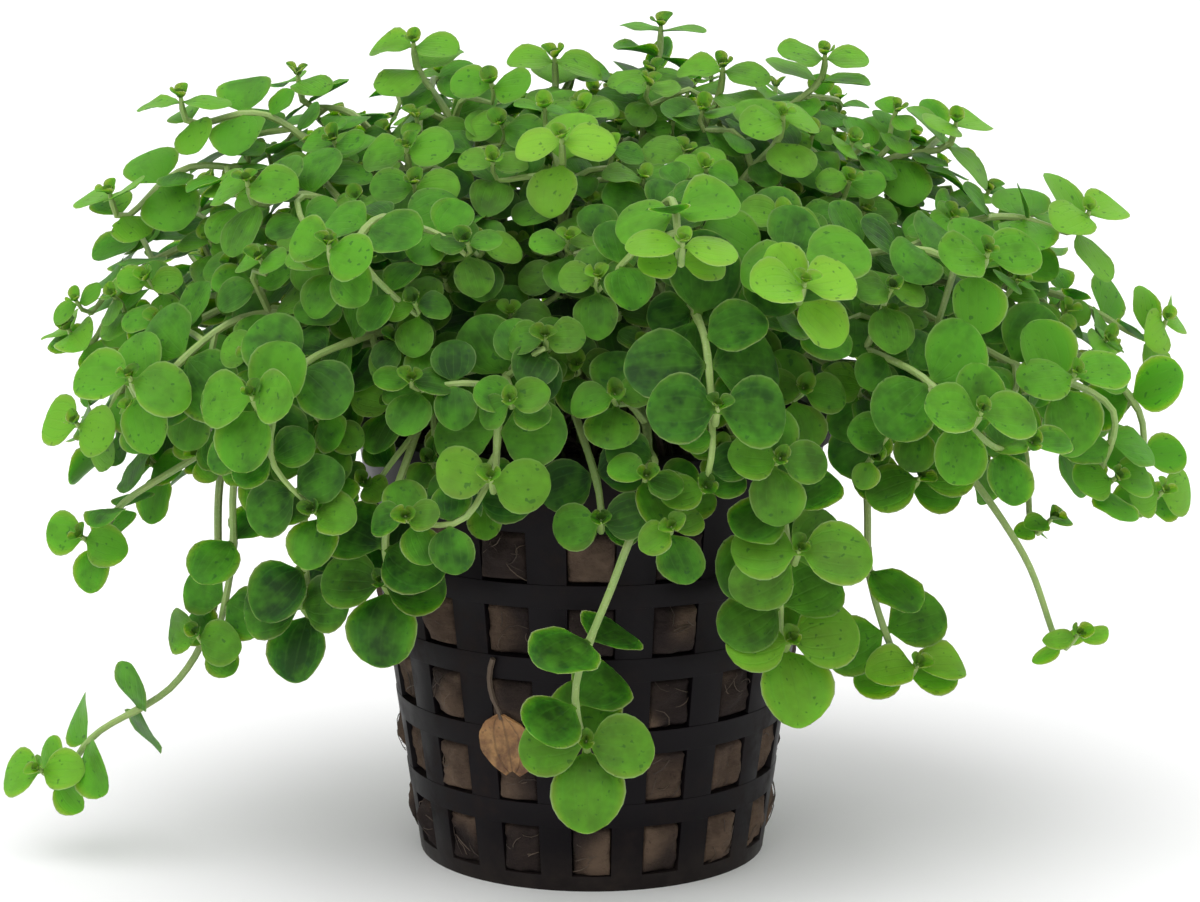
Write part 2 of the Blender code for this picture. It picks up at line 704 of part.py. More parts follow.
def add_leaf(bm, quad, leaf):
    """A leaf drawn out of one face of the stem: round in the middle and blunt at the tip."""
    wide = leaf.widest()
    signs = ((1, -1), (1, 1), (-1, 1), (-1, -1))
    widest = [leaf.at(LEAF_WIDEST, i * wide, j * LEAF_HALF_THICK) for i, j in signs]
    middle = sum(widest, Vector()) / 4
    root = sum((corner.co for corner in quad), Vector()) / 4

    def agreement(shift):
        pairs = [(quad[k].co - root, widest[(k - shift) % 4] - middle) for k in range(4)]
        return sum(near.normalized().dot(far.normalized()) for near, far in pairs)

    shift = max(range(4), key=agreement)
    quad = [quad[(k + shift) % 4] for k in range(4)]
    ring = [bm.verts.new(corner * MM) for corner in widest]
    for k in range(4):
        after = (k + 1) % 4
        bm.faces.new((quad[k], quad[after], ring[after], ring[k]))
    right, left = [bm.verts.new(leaf.at(1, sign * wide * LEAF_TIP_WIDTH) * MM) for sign in (1, -1)]
    bm.faces.new((ring[0], ring[1], right))
    bm.faces.new((ring[1], ring[2], left, right))
    bm.faces.new((ring[2], ring[3], left))
    bm.faces.new((ring[3], ring[0], right, left))


def shoot_object(name, route, pairs, plan, green):
    """The stem is a chain of rings from root to tip, with a short stretch for each pair of leaves."""
    bm = bmesh.new()
    previous = None
    side = FIRST_SIDE
    for from_tip, rank in stem_stations(route, pairs):
        point, along = place_on(route, from_tip)
        if rank is None:
            rings = [stem_ring(bm, point, along, side)]
        else:
            if rank in plan:
                side = along.cross(plan[rank][0].along)
            ends = (from_tip + NODE_HALF, from_tip - NODE_HALF)
            rings = [stem_ring(bm, place_on(route, end)[0], along, side) for end in ends]
        if previous is None:
            bm.faces.new(list(reversed(rings[0])))
        else:
            band(bm, previous, matched(previous, rings[0]))
        if rank in plan:
            lower, upper = rings
            bm.faces.new((lower[1], lower[2], upper[2], upper[1]))
            add_leaf(bm, [lower[2], lower[0], upper[0], upper[2]], plan[rank][0])
            add_leaf(bm, [lower[0], lower[1], upper[1], upper[0]], plan[rank][1])
        elif rank is not None:
            band(bm, *rings)
        previous = rings[-1]
    bm.faces.new(previous)
    return object_from(bm, name, plain_material(f"leaf_green_{green}", LEAF_GREENS[green]))


def leafy_shoots():
    rng = random.Random(SEED)
    shoots = []
    for name, pairs, size, *points in LISTED_SHOOTS:
        shoots.append((name, [Vector(point) for point in points], pairs, size))
    shoots += cushion_shoots(shoots, rng)
    routes = route_stems(shoots, rng)
    plans = plan_leaves(shoots, routes, rng)
    for index, ((name, _, pairs, _), route, plan) in enumerate(zip(shoots, routes, plans)):
        shoot_object(name, route, pairs, plan, index % len(LEAF_GREENS))


def main():
    clear_scene()
    bpy.context.scene.unit_settings.scale_length = 1.0
    net_pot()
    rock_wool()
    withered_leaf()
    leafy_shoots()


main()
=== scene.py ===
"""The looks of a shade mudflower in its net pot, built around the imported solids.

The frame: the origin is the middle of the pot's base, +X is the viewer's right, +Y points away from the
viewer and +Z is up. Sizes are in millimetres, and MM turns them into Blender's metres.

The first half grows the shoots just as the solids were grown, with the same random draws, so that each
detailed leaf lies on its solid one. The second half adds what is too small for the solids: buds, older
leaves further down the stems, the moulded pot, the fibrous plug and the finishes.
"""

import math
import random

import bmesh
import bpy
import numpy as np
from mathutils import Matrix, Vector, noise
from mathutils.bvhtree import BVHTree


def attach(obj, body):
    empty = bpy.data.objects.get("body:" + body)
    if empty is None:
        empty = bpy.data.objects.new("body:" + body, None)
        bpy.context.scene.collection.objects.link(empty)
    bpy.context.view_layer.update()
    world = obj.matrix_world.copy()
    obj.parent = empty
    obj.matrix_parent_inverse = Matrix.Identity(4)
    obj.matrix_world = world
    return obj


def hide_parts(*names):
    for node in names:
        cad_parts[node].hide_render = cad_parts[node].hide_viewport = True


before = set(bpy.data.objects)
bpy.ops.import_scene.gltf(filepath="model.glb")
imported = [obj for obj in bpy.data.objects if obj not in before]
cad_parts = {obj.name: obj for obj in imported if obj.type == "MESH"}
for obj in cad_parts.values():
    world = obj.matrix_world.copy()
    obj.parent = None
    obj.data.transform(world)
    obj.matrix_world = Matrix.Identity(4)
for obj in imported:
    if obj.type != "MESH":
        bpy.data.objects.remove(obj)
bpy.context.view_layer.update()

MM = 0.001
UP = Vector((0, 0, 1))
GOLDEN_ANGLE = math.pi * (3 - math.sqrt(5))
SEED = 5
POT_TALL = 48.0
POT_TOP_RADIUS = 25.6
POT_BASE_RADIUS = 18.9
POT_WALL = 1.2
POT_FLOOR = 1.2
LIP_TALL = 1.5
LIP_WIDE = 1.0
COLUMNS = 16
ROWS = 5
ROW_PITCH = 8.2
WINDOW_SILL = 1.7
WINDOW_TALL = 5.6
WINDOW_SHARE = 0.55
SLOT_OUTER_RADIUS = 14.5
SLOT_INNER_RADIUS = 7.0
COLUMNS_PER_SLOT = 2
GAP = 0.3
WOOL_SHOULDER = 44.0
WOOL_TOP = ((18.0, 45.3), (9.0, 46.0))
WOOL_PEAK = 46.2
ROOTS = 60
ROOT_CIRCLE = 17.0
ROOT_PULL = 0.32
STEM_BIRTH = 46.6
STEM_RADIUS = 0.45
STEM_STEP = 1.5
FEWEST_STEPS = 6
CURVE_POINTS = 12
STEM_CLEARANCE = 2.3
STEM_TRIES = 90
STEM_SWAY = 4.5
TIP_BEND = 3.6
RISE = 9.0
RISE_SPREAD = 1.25
RIM_APPROACH = 4.0
POT_CLEARANCE = 0.9
GROUND_CLEARANCE = 0.6
LEAF_HALF_THICK = 0.25
LEAF_WIDTH = 0.98
LEAF_WIDEST = 0.52
LEAF_TIP_WIDTH = 0.5
LEAF_GAP = 0.15
SIDE_LIGHT = 0.5
BACK_LIGHT = 0.85
NEAR_LIGHT = 0.35
TOP_LIGHT = 0.38
TOP_LIGHT_GAIN = 0.8
TOP_LIGHT_START = 48.0
FRONT_LIGHT = 0.5
LIGHT_REACH = 30.0
BLADE_START = 0.24
LEAF_REACH = 0.75
TUBE_ALLOWANCE = 1.2
TUBE_SIDES = 4
REACH_MARGIN = 1.0
TERMINAL_RANKS = 2
TERMINAL_LEAN = 0.45
TERMINAL_SPREAD = 0.8
LEAF_SPREAD = 0.55
LEAF_RAISE = (-0.12, 0.22)
LEAF_VARIETY = (0.93, 1.04)
LEAF_TRIES = 45
LEAF_TURN = 0.2
LEAF_MORE_TURN = 1.4
LEAF_SHRINK = 0.3
LEAF_WOBBLE = 0.33
NEARLY_ALONG = 0.97
EDGE_ON = 0.2
NODE_HALF = 0.45
NODES_FROM_TIP = (0.7, 3.6, 9.6, 16.8)
NODE_SIZES = (0.85, 1.0, 1.0, 0.95)
CURVE_STEP = 13.0
CUSHION_MIDDLE = 42.0
CUSHION_RADIUS_X = 60.0
CUSHION_RADIUS_Y = 52.0
CUSHION_RISE = 45.0
CUSHION_SQUARENESS = 2.4
CUSHION_SHOOTS = 21
CUSHION_DEPTH = (0.93, 1.0)
RISE_BIAS = 1.3
CANDIDATES = 60
FEWEST_PAIRS = 3
CUSHION_LEAF = 8.0
CUSHION_LEAF_TAPER = 0.04
VIA_POINTS = ((0.5, 0.35, 41.0), (0.82, 0.75, 17.0))
LISTED_TOP = 53.0
LISTED_FRONT = -8.0
LISTED_SHOOTS = (
    (
        "left_runner", 4, 6.6,
        (-33, -7, 57), (-39.5, -6, 44), (-40.5, -8, 29), (-45, -8, 20), (-53.5, -8, 14.5), (-60, -8, 10.5),
    ),
    ("left_hanging", 4, 6.5, (-29, -13, 57), (-37, -14, 46), (-38, -14, 35), (-42, -14, 27)),
    ("left_sprig", 3, 6.3, (-32, -3, 55), (-40, -3, 46), (-51, -2, 38.5), (-55.5, -2, 35)),
    ("left_low", 4, 7.0, (-30, -2, 63), (-47, -4, 56), (-55.5, -4, 48)),
    ("left_middle", 4, 6.7, (-32, 3, 68), (-48, 4, 64), (-57, 3, 57)),
    ("left_high", 3, 6.6, (-26, 2, 70), (-42, 2, 75), (-52, 2, 72)),
    ("crown_left", 4, 6.4, (-22, 2, 69), (-34, 2, 80), (-44, 1, 82.5)),
    ("crown_left_back", 3, 5.8, (-15, 5, 66), (-25, 8, 79), (-32, 9, 84)),
    ("crown_left_peak", 4, 6.0, (-9, 0, 66), (-15, 0, 80), (-19, 0, 88.5)),
    ("crown_middle", 4, 6.2, (-3, 1, 66), (-4, 3, 78), (-4, 4, 86.5)),
    ("crown_front", 3, 6.3, (-3, -10, 66), (-3, -17, 76), (-3, -22, 81)),
    ("crown_right_peak", 3, 5.8, (4, 4, 66), (6, 7, 81), (7.5, 8, 89.5)),
    ("crown_right", 4, 6.0, (7, 0, 65), (11, 0, 77), (14, -1, 86)),
    ("crown_far_right", 3, 6.0, (12, 1, 65), (18, 2, 78), (25, 2, 87)),
    ("crown_right_front", 3, 6.1, (10, -6, 64), (16, -9, 75), (20, -11, 82)),
    ("right_high", 4, 6.4, (18, 0, 64), (30, 0, 75), (39, 0, 80)),
    ("right_shoulder", 4, 7.0, (25, -2, 63), (42, -3, 70), (53, -4, 71)),
    ("right_tip", 4, 6.4, (30, 2, 62), (49, 4, 61), (62.5, 3, 58)),
    ("right_hanging", 4, 6.6, (31, -1, 59), (50, -2, 56), (59, -2, 49), (62, -2, 40)),
    ("right_hanging_inner", 3, 6.3, (30, -5, 57), (46, -7, 54), (54, -9, 49), (56, -9, 43)),
    ("right_thin", 2, 5.0, (30, -1, 56), (42, 0, 53), (49, -1, 45), (50, -2, 37)),
    ("right_needle", 2, 5.5, (29, -8, 53), (38, -10, 46), (46, -11, 35), (52, -12, 26.5)),
    ("right_clover", 4, 7.0, (26, -14, 54), (30, -16, 44), (30, -16, 33), (34.5, -17, 24.5)),
    ("right_low_front", 3, 7.2, (22, -13, 57), (30, -20, 52), (34, -23, 46)),
    (
        "front_hanging", 4, 8.5,
        (5, -27, 54), (5.5, -33, 47), (2.5, -34, 38), (-1.5, -34.5, 27), (-0.5, -35, 21),
    ),
    ("front_right_low", 4, 8.8, (12, -24, 55), (17, -29, 47), (19, -29, 38), (20.5, -28, 30)),
    ("front_right", 3, 8.4, (12, -22, 59), (18, -31, 50), (21, -35, 41)),
    ("front_left", 4, 7.3, (-7, -21, 60), (-9, -33, 56), (-10, -38, 49)),
    ("front_middle", 3, 6.2, (0, -24, 56), (1, -32, 50), (1, -35, 44)),
    ("left_front_hanging", 4, 7.8, (-21, -16, 56), (-28, -20, 48), (-30, -21, 39), (-30.5, -21, 32)),
    ("left_front_inner", 3, 8.0, (-15, -20, 56), (-19, -27, 48), (-21, -28, 41), (-21.5, -28, 36)),
    ("front_big", 4, 9.0, (8, -20, 64), (11, -35, 64), (12.5, -42, 57)),
    ("front_bright", 3, 6.4, (5, -16, 68), (8, -32, 76), (9, -40, 73)),
    ("front_bright_right", 4, 7.2, (11, -15, 66), (18, -31, 73), (21, -40, 69)),
    ("left_front_high", 4, 6.5, (-14, -16, 66), (-22, -28, 73), (-26, -35, 72)),
)


def pot_radius(z):
    """The pot's outer radius at a height."""
    return POT_BASE_RADIUS + (POT_TOP_RADIUS - POT_BASE_RADIUS) * z / POT_TALL


def cushion_point(around, rise):
    """A point on the cushion's outer shape. The rise runs from 0 at its lower edge to 1 at its top."""
    power = 2 / CUSHION_SQUARENESS
    level = math.sin(rise * math.pi / 2) ** power
    spread = math.cos(rise * math.pi / 2) ** power
    return Vector((
        CUSHION_RADIUS_X * spread * math.cos(around),
        CUSHION_RADIUS_Y * spread * math.sin(around),
        CUSHION_MIDDLE + CUSHION_RISE * level,
    ))


def cushion_shoots(taken, rng):
    """Shoots whose tips fall into the widest gaps between the tips so far."""
    tips = [points[-1] for _, points, _, _ in taken]
    shoots = []
    for number in range(1, CUSHION_SHOOTS + 1):
        candidates = []
        while len(candidates) < CANDIDATES:
            around = rng.uniform(0, math.tau)
            rise = rng.uniform(0, 1) ** RISE_BIAS
            point = cushion_point(around, rise) * rng.uniform(*CUSHION_DEPTH)
            if point.y > LISTED_FRONT or point.z > LISTED_TOP:
                candidates.append(point)
        tip = max(candidates, key=lambda point: min((point - other).length for other in tips))
        tips.append(tip)
        flat = Vector((tip.x, tip.y, 0))
        vias = [flat * out + UP * (share * tip.z + lift) for out, share, lift in VIA_POINTS]
        size = CUSHION_LEAF - CUSHION_LEAF_TAPER * (tip.z - CUSHION_MIDDLE)
        pairs = FEWEST_PAIRS + number % 2
        shoots.append((f"cushion_shoot_{number:02d}", [*vias, tip], pairs, size))
    return shoots


def smooth_route(points):
    """Points at even steps along a Catmull-Rom curve through the given ones."""
    ends = [points[0] * 2 - points[1], *points, points[-1] * 2 - points[-2]]
    dense = []
    for before, start, stop, after in zip(ends, ends[1:], ends[2:], ends[3:]):
        for step in range(CURVE_POINTS):
            t = step / CURVE_POINTS
            dense.append(
                0.5 * (
                    start * 2
                    + (stop - before) * t
                    + (before * 2 - start * 5 + stop * 4 - after) * t**2
                    + (start * 3 - before - stop * 3 + after) * t**3
                )
            )
    dense.append(points[-1])
    lengths = [0.0]
    for here, there in zip(dense, dense[1:]):
        lengths.append(lengths[-1] + (there - here).length)
    count = max(FEWEST_STEPS, round(lengths[-1] / STEM_STEP))
    route = []
    index = 0
    for step in range(count + 1):
        goal = lengths[-1] * step / count
        while index < len(lengths) - 2 and lengths[index + 1] < goal:
            index += 1
        share = (goal - lengths[index]) / max(lengths[index + 1] - lengths[index], 1e-9)
        route.append(dense[index].lerp(dense[index + 1], share))
    return route


def place_on(route, from_tip):
    """The point and the forward direction at a distance from a route's tip."""
    step = (route[1] - route[0]).length
    position = max(0.0, len(route) - 1 - from_tip / step)
    index = min(int(position), len(route) - 2)
    point = route[index].lerp(route[index + 1], position - index)
    return point, (route[index + 1] - route[index]).normalized()


def stem_stations(route, pairs):
    """Where a stem has its rings, as (distance from the tip, leaf rank or None), root first."""
    length = (route[1] - route[0]).length * (len(route) - 1)
    bare = length - NODES_FROM_TIP[pairs - 1]
    bends = max(2, round(bare / CURVE_STEP))
    stations = [(length - bare * bend / bends, None) for bend in range(bends)]
    return stations + [(NODES_FROM_TIP[rank], rank) for rank in reversed(range(pairs))]


def stem_corners(route, pairs):
    """The corners of the stem's middle line."""
    corners = []
    for from_tip, rank in stem_stations(route, pairs):
        halves = (0,) if rank is None else (NODE_HALF, -NODE_HALF)
        corners += [place_on(route, from_tip + half)[0] for half in halves]
    return corners


def inside_pot(point, margin):
    """Whether a point is in the pot, in its mouth or within the margin of its wall."""
    flat = math.hypot(point.x, point.y)
    if point.z > POT_TALL + margin:
        return False
    if flat < pot_radius(POT_TALL) - POT_WALL:
        return True
    return flat < pot_radius(point.z) + LIP_WIDE + margin


def root_places():
    """The stems' feet, spread over the plug like a sunflower's seeds."""
    places = []
    for index in range(ROOTS):
        radius = ROOT_CIRCLE * math.sqrt((index + 0.5) / ROOTS)
        angle = index * GOLDEN_ANGLE
        places.append(Vector((radius * math.cos(angle), radius * math.sin(angle), STEM_BIRTH)))
    return places


def random_step(reach, rng):
    return Vector([rng.uniform(-reach, reach) for _ in range(3)])


def close_points(corners):
    """Points every STEM_STEP or so along the straight stretches between corners."""
    points = []
    for here, there in zip(corners, corners[1:]):
        count = max(1, round((there - here).length / STEM_STEP))
        points += [here.lerp(there, step / count) for step in range(count)]
    return points + [corners[-1]]


def clearance(points, others):
    """The least distance to the other stems, or -1 for a stem that meets the pot's wall."""
    past_roots = [point for point in points if math.hypot(point.x, point.y) > ROOT_CIRCLE + RIM_APPROACH]
    if any(inside_pot(point, STEM_RADIUS + GAP) for point in past_roots):
        return -1.0
    if not others:
        return math.inf
    here = np.array([tuple(point) for point in points])
    there = np.concatenate(others)
    return float(np.sqrt(((here[:, None] - there[None]) ** 2).sum(2)).min())


def route_stems(shoots, rng):
    """The route of each shoot's stem, root first, each from its own place on the plug.

    The last stretch bends towards the light, so that the leaves at the tip lie in tiers."""
    free = root_places()
    others = []
    routes = []
    for _, points, pairs, _ in shoots:
        pull = Vector((points[-1].x, points[-1].y, 0)) * ROOT_PULL
        pull.z = STEM_BIRTH
        root = min(free, key=lambda place: (place - pull).length)
        free.remove(root)
        lifted = Vector((root.x * RISE_SPREAD, root.y * RISE_SPREAD, STEM_BIRTH + RISE))
        best = None
        bend = points[-1] - facing_at(points[-1]) * TIP_BEND
        for attempt in range(STEM_TRIES):
            sway = STEM_SWAY * attempt / STEM_TRIES
            moved = [point + random_step(sway, rng) for point in [lifted, *points[:-1]]]
            route = smooth_route([root, *moved, bend, points[-1]])
            line = close_points(stem_corners(route, pairs))
            room = clearance(line, others)
            if best is None or room > best[0]:
                best = (room, route, line)
            if room > STEM_CLEARANCE:
                break
        routes.append(best[1])
        others.append(np.array([tuple(point) for point in best[2]]))
    return routes


class Leaf:
    """A leaf, given by its foot on the stem, the way it points, its upper side and its length."""

    def __init__(self, foot, along, face, length):
        self.foot = foot
        self.along = along.normalized()
        self.side = face.cross(self.along).normalized()
        self.face = self.along.cross(self.side)
        self.length = length

    def at(self, share, half_wide, half_thick=0.0):
        spine = self.foot + self.along * (self.length * share)
        return spine + self.side * half_wide + self.face * half_thick

    def widest(self):
        return self.length * LEAF_WIDTH / 2

    def hull(self, gap, start=0.0):
        """The corners of the leaf past a share of its length, grown by the gap, as lower and upper rows."""
        wide = self.widest()
        tip = 1 + gap / self.length
        along = start / LEAF_WIDEST
        start_wide = STEM_RADIUS + (wide - STEM_RADIUS) * along
        start_thick = NODE_HALF + (LEAF_HALF_THICK - NODE_HALF) * along
        outline = (
            (start, start_wide, start_thick),
            (LEAF_WIDEST, wide, LEAF_HALF_THICK),
            (tip, wide * LEAF_TIP_WIDTH, LEAF_HALF_THICK),
        )
        rows = []
        for up in (-1, 1):
            right = [self.at(share, half + gap, up * (thick + gap)) for share, half, thick in outline]
            left = [self.at(share, -half - gap, up * (thick + gap)) for share, half, thick in outline]
            rows.append(right + left[::-1])
        return rows

    def tree(self, gap, start=0.0):
        lower, upper = self.hull(gap, start)
        count = len(lower)
        faces = [list(range(count)), list(range(count, 2 * count))]
        faces += [[i, (i + 1) % count, count + (i + 1) % count, count + i] for i in range(count)]
        return BVHTree.FromPolygons(lower + upper, faces)

    def clear_of_pot(self):
        lower, upper = self.hull(LEAF_GAP, BLADE_START)
        corners = lower + upper
        middle = self.at(LEAF_WIDEST, 0)
        tests = corners + [middle] + [corner.lerp(middle, 0.5) for corner in corners]
        is_in_pot = any(inside_pot(point, POT_CLEARANCE) for point in tests)
        return not is_in_pot and min(point.z for point in tests) > GROUND_CLEARANCE


def stem_tree(line, gap):
    """A tube round a stem's middle line, for the overlap tests."""
    corners, faces = [], []
    for index, point in enumerate(line):
        along = (line[min(index + 1, len(line) - 1)] - line[max(index - 1, 0)]).normalized()
        side = along.orthogonal().normalized()
        across = along.cross(side)
        for turn in range(TUBE_SIDES):
            angle = math.tau * turn / TUBE_SIDES
            out = side * math.cos(angle) + across * math.sin(angle)
            corners.append(point + out * (STEM_RADIUS + gap) * TUBE_ALLOWANCE)
    for low in range(0, (len(line) - 1) * TUBE_SIDES, TUBE_SIDES):
        high = low + TUBE_SIDES
        for turn in range(TUBE_SIDES):
            after = (turn + 1) % TUBE_SIDES
            faces.append([low + turn, low + after, high + after, high + turn])
    return BVHTree.FromPolygons(corners, faces)


def facing_at(point):
    """Where a leaf here turns its upper side: up, out from the cushion and to the light in front."""
    depth = point.y / CUSHION_RADIUS_Y
    away = depth * (BACK_LIGHT if depth > 0 else NEAR_LIGHT)
    front = min(1.0, max(0.0, (LIGHT_REACH - point.y) / LIGHT_REACH))
    lift = max(0.0, (point.z - TOP_LIGHT_START) / CUSHION_RISE)
    return Vector((
        SIDE_LIGHT * point.x / CUSHION_RADIUS_X,
        away - FRONT_LIGHT * front,
        TOP_LIGHT + TOP_LIGHT_GAIN * lift,
    )).normalized()


def leaf_pair(route, from_tip, turn, length, is_terminal, rng):
    """Two opposite leaves on a stem. A terminal pair opens towards the light like a clover's leaves."""
    point, forward = place_on(route, from_tip)
    light = (facing_at(point) + random_step(LEAF_WOBBLE, rng)).normalized()
    axis = (forward * TERMINAL_LEAN + light).normalized() if is_terminal else forward
    side = axis.cross(light if abs(axis.dot(light)) < NEARLY_ALONG else UP).normalized()
    across = axis.cross(side)
    leaves = []
    for half_turn in (0, math.pi):
        out = side * math.cos(turn + half_turn) + across * math.sin(turn + half_turn)
        flattened = out - light * out.dot(light) * (TERMINAL_SPREAD if is_terminal else LEAF_SPREAD)
        along = (flattened.normalized() + light * rng.uniform(*LEAF_RAISE)).normalized()
        face = light - along * light.dot(along)
        if face.length < EDGE_ON:
            face = forward - along * forward.dot(along)
        leaves.append(Leaf(point, along, face.normalized(), length * rng.uniform(*LEAF_VARIETY)))
    return leaves


class Crowd:
    """What is already placed, as (shoot, middle, reach, tree), to test new leaves against."""

    def __init__(self, shoots, routes):
        self.items = []
        for number, ((_, _, pairs, _), route) in enumerate(zip(shoots, routes)):
            corners = stem_corners(route, pairs)
            middle = (corners[0] + corners[-1]) / 2
            reach = max((corner - middle).length for corner in corners) + REACH_MARGIN
            self.items.append((number, middle, reach, stem_tree(corners, LEAF_GAP)))

    def room_for(self, leaf, shoot):
        """Whether the leaf is clear of all else. Its foot may touch its own shoot."""
        if not leaf.clear_of_pot():
            return False
        middle = leaf.at(0.5, 0)
        whole = leaf.tree(LEAF_GAP)
        blade = leaf.tree(LEAF_GAP, BLADE_START)
        return not any(
            (middle - centre).length < reach + leaf.length * LEAF_REACH
            and (blade if owner == shoot else whole).overlap(other)
            for owner, centre, reach, other in self.items
        )

    def add(self, leaf, shoot):
        self.items.append((shoot, leaf.at(0.5, 0), leaf.length * LEAF_REACH, leaf.tree(LEAF_GAP)))


def grow_pair(crowd, shoot, route, rank, size, rng):
    """A pair with room for both leaves, or None. Later tries turn it further and shrink it."""
    for attempt in range(LEAF_TRIES):
        effort = attempt / LEAF_TRIES
        turn = rank * math.pi / 2 + rng.uniform(-1, 1) * (LEAF_TURN + LEAF_MORE_TURN * effort)
        length = size * NODE_SIZES[rank] * (1 - LEAF_SHRINK * effort)
        pair = leaf_pair(route, NODES_FROM_TIP[rank], turn, length, rank < TERMINAL_RANKS, rng)
        if all(crowd.room_for(leaf, shoot) for leaf in pair):
            return pair
    return None


def plan_leaves(shoots, routes, rng):
    """The leaf pairs of each shoot, as {rank: pair}, set from the tips inwards."""
    crowd = Crowd(shoots, routes)
    plans = [{} for _ in shoots]
    for rank in range(len(NODES_FROM_TIP)):
        for number, (_, _, pairs, size) in enumerate(shoots):
            if rank >= pairs:
                continue
            pair = grow_pair(crowd, number, routes[number], rank, size, rng)
            if pair is None:
                continue
            plans[number][rank] = pair
            for leaf in pair:
                crowd.add(leaf, number)
    return plans


# The looks' own random draws.
GROWTH_SEED = 11
WOOL_SEED = 5
FIBRE_SEED = 23
STALK_SEED = 3

# Older leaves, between the planned pairs and further down the stems.
OLD_FIRST = 6.2
OLD_STEP = 3.3
OLD_SHIFT = 0.8
OLD_SIZE = 0.92
OLD_VARIETY = (0.85, 1.05)
OLD_SHRINK = 0.35
OLD_TRIES = 14
OLD_LOWEST = 51.0
HANGING_TIP = 45.0
HANGING_LOWEST = 55.0
ROOT_BARE = 7.0

# Side shoots, which close the gaps between the main ones.
SIDE_CANDIDATES = 4600
SIDE_RISE = 1.15
SIDE_DEPTH = (0.70, 1.0)
SIDE_FRONT = 0.80
SIDE_DROOP = 5.0
SIDE_SHORTEST = 7.0
SIDE_LONGEST = 24.0
SIDE_AHEAD = 0.1
SIDE_ARCH = 0.12
SIDE_SWAY = 1.5
SIDE_BEND = 2.6
SIDE_SPACING = 3.9
SIDE_SIZES = (4.8, 6.8)
SIDE_SMALLER = 0.018
SIDE_SHRINK = 0.35
SIDE_NODES = (0.6, 2.9, 7.0, 11.5)
SIDE_NODE_SIZES = (0.8, 1.0, 1.0, 0.95)
SIDE_BARE = 2.0
SIDE_TRIES = 16
SINGLE_LEAF_EFFORT = 0.6
FEWEST_SIDE_LEAVES = 3
# No side shoot starts in the first steps of its parent's route, nor in the last.
PARENT_STEPS = (6, 4)
PARENT_LOWEST = 50.0
# A new stem is tested for room at a few places, from past its foot to just before its tip.
PAST_FOOT = 2.6
BEFORE_TIP = 0.3
STEM_STATIONS = 6

# How low side shoots may hang in front, as (place across, height). The pot and the dark gap under the
# middle of the cushion stay open.
FRONT_LOWEST = (
    (-60, 51), (-36, 50), (-33, 40), (-19, 39), (-17, 43), (-6, 43), (-4, 56),
    (4, 56), (6, 43), (28, 42), (31, 49), (60, 51),
)
# How much room the listed tips keep in the viewer's sight, which slopes down a little.
LISTED_SIGHT = 5.6
LISTED_NEAR = 12.0
SIGHT_DEPTH = 1.5
SIGHT_SLOPE = 0.2

# Which shoots are young and bright, which are darkened with painted shade, and which have narrow leaves.
BRIGHT_SHOOTS = {
    "crown_front": 0.8, "right_shoulder": 0.6, "right_tip": 0.5, "front_bright": 1.0,
    "front_bright_right": 1.0, "front_left": 0.4, "front_right_low": 0.65, "crown_left_peak": 0.35,
    "crown_right_front": 0.45, "left_low": 0.35, "left_middle": 0.35, "right_clover": 0.65,
    "front_hanging": 0.3, "left_high": 0.45, "right_high": 0.4, "crown_middle": 0.35, "crown_left": 0.25,
    "left_runner": 0.4, "right_needle": 0.5, "right_hanging": 0.4, "right_thin": 0.4, "front_right": 0.2,
    "crown_far_right": 0.35, "crown_right": 0.2,
}
SHADE_PAINTED_SHOOTS = {"front_big": 0.25, "left_front_hanging": 0.15, "left_front_inner": 0.10, "front_middle": 0.15}
NARROW_SHOOTS = {"right_needle": 0.5, "right_thin": 0.7}

# How fresh a leaf's green is, with painted shade on the inner leaves: its least, what it gains towards the
# outside, and its spread.
MAIN_GREEN = (0.18, 0.62, 0.20)
OLD_GREEN = (-0.05, 0.66, 0.16)
SIDE_GREEN = (0.12, 0.66, 0.26)
GREEN_CURVE = 1.5
BRIGHT_GREEN = 0.25
SHADED_BY_DARK = 0.5
# Painted light and shade: leaves at the cushion's sides are painted lighter, and leaves in its middle below
# the sunlit heights are painted darker.
SIDE_PAINTED_LIGHT = 0.48
MIDDLE_PAINTED_SHADE = 0.22
SUNLIT_HEIGHTS = (62.0, 84.0)
YOUNG_BY_RANK = (0.22, 0.12, 0.0, 0.0)
YOUNG_IF_BRIGHT = (1.0, 0.75, 0.25, 0.1)
YOUNG_VARIETY = (0.6, 1.1)
SIDE_YOUNG_VARIETY = (0.0, 1.8)

# A leaf's outline in leaf lengths: a short foot, then an oval that is a little blunter ahead.
LEAF_FOOT = ((0.0, 0.05), (0.07, 0.062))
OVAL_MIDDLE = 0.545
OVAL_REAR = 0.44
OVAL_AHEAD = 0.45
OVAL_HALF_WIDE = 0.488
OVAL_ANGLES = range(22, 170, 18)
BLADE_COLUMNS = 4
BLADE_BOW = 0.018
BLADE_HALF_THICK = 0.019
BLADE_CROWN = 1.25
BLADE_RIM = 0.99
BLADE_MERGE = 0.0005
ON_MIDDLE = 1e-4

# How single leaves vary: width, cup, droop, fold, the height and beat of a wavy margin, and lean.
BLADE_WIDTH = (0.93, 1.04)
BLADE_CUP = (-0.30, 0.45)
BLADE_DROOP = (-0.34, 0.06)
DROOP_START = 0.1
BLADE_FOLD = (0.0, 0.16)
BLADE_WAVE = (0.0, 0.22)
BLADE_BEAT = (6.0, 11.0)
WAVE_OFFSET = 3.0
BLADE_LEAN = (-0.10, 0.10)
CUPPED = 0.1
OLD_CUPPED = -0.05
BUD_CUPPED = 0.9

BUD_LENGTHS = (1.9, 1.1)
BUD_OPENING = (0.75, 0.45)
BUD_VARIETY = (0.85, 1.1)
BUD_PLACE = 0.2
BUD_LEAN = 0.4
BUD_GREEN = (0.3, 0.4)
BUD_YOUNG = (0.1, 0.35)

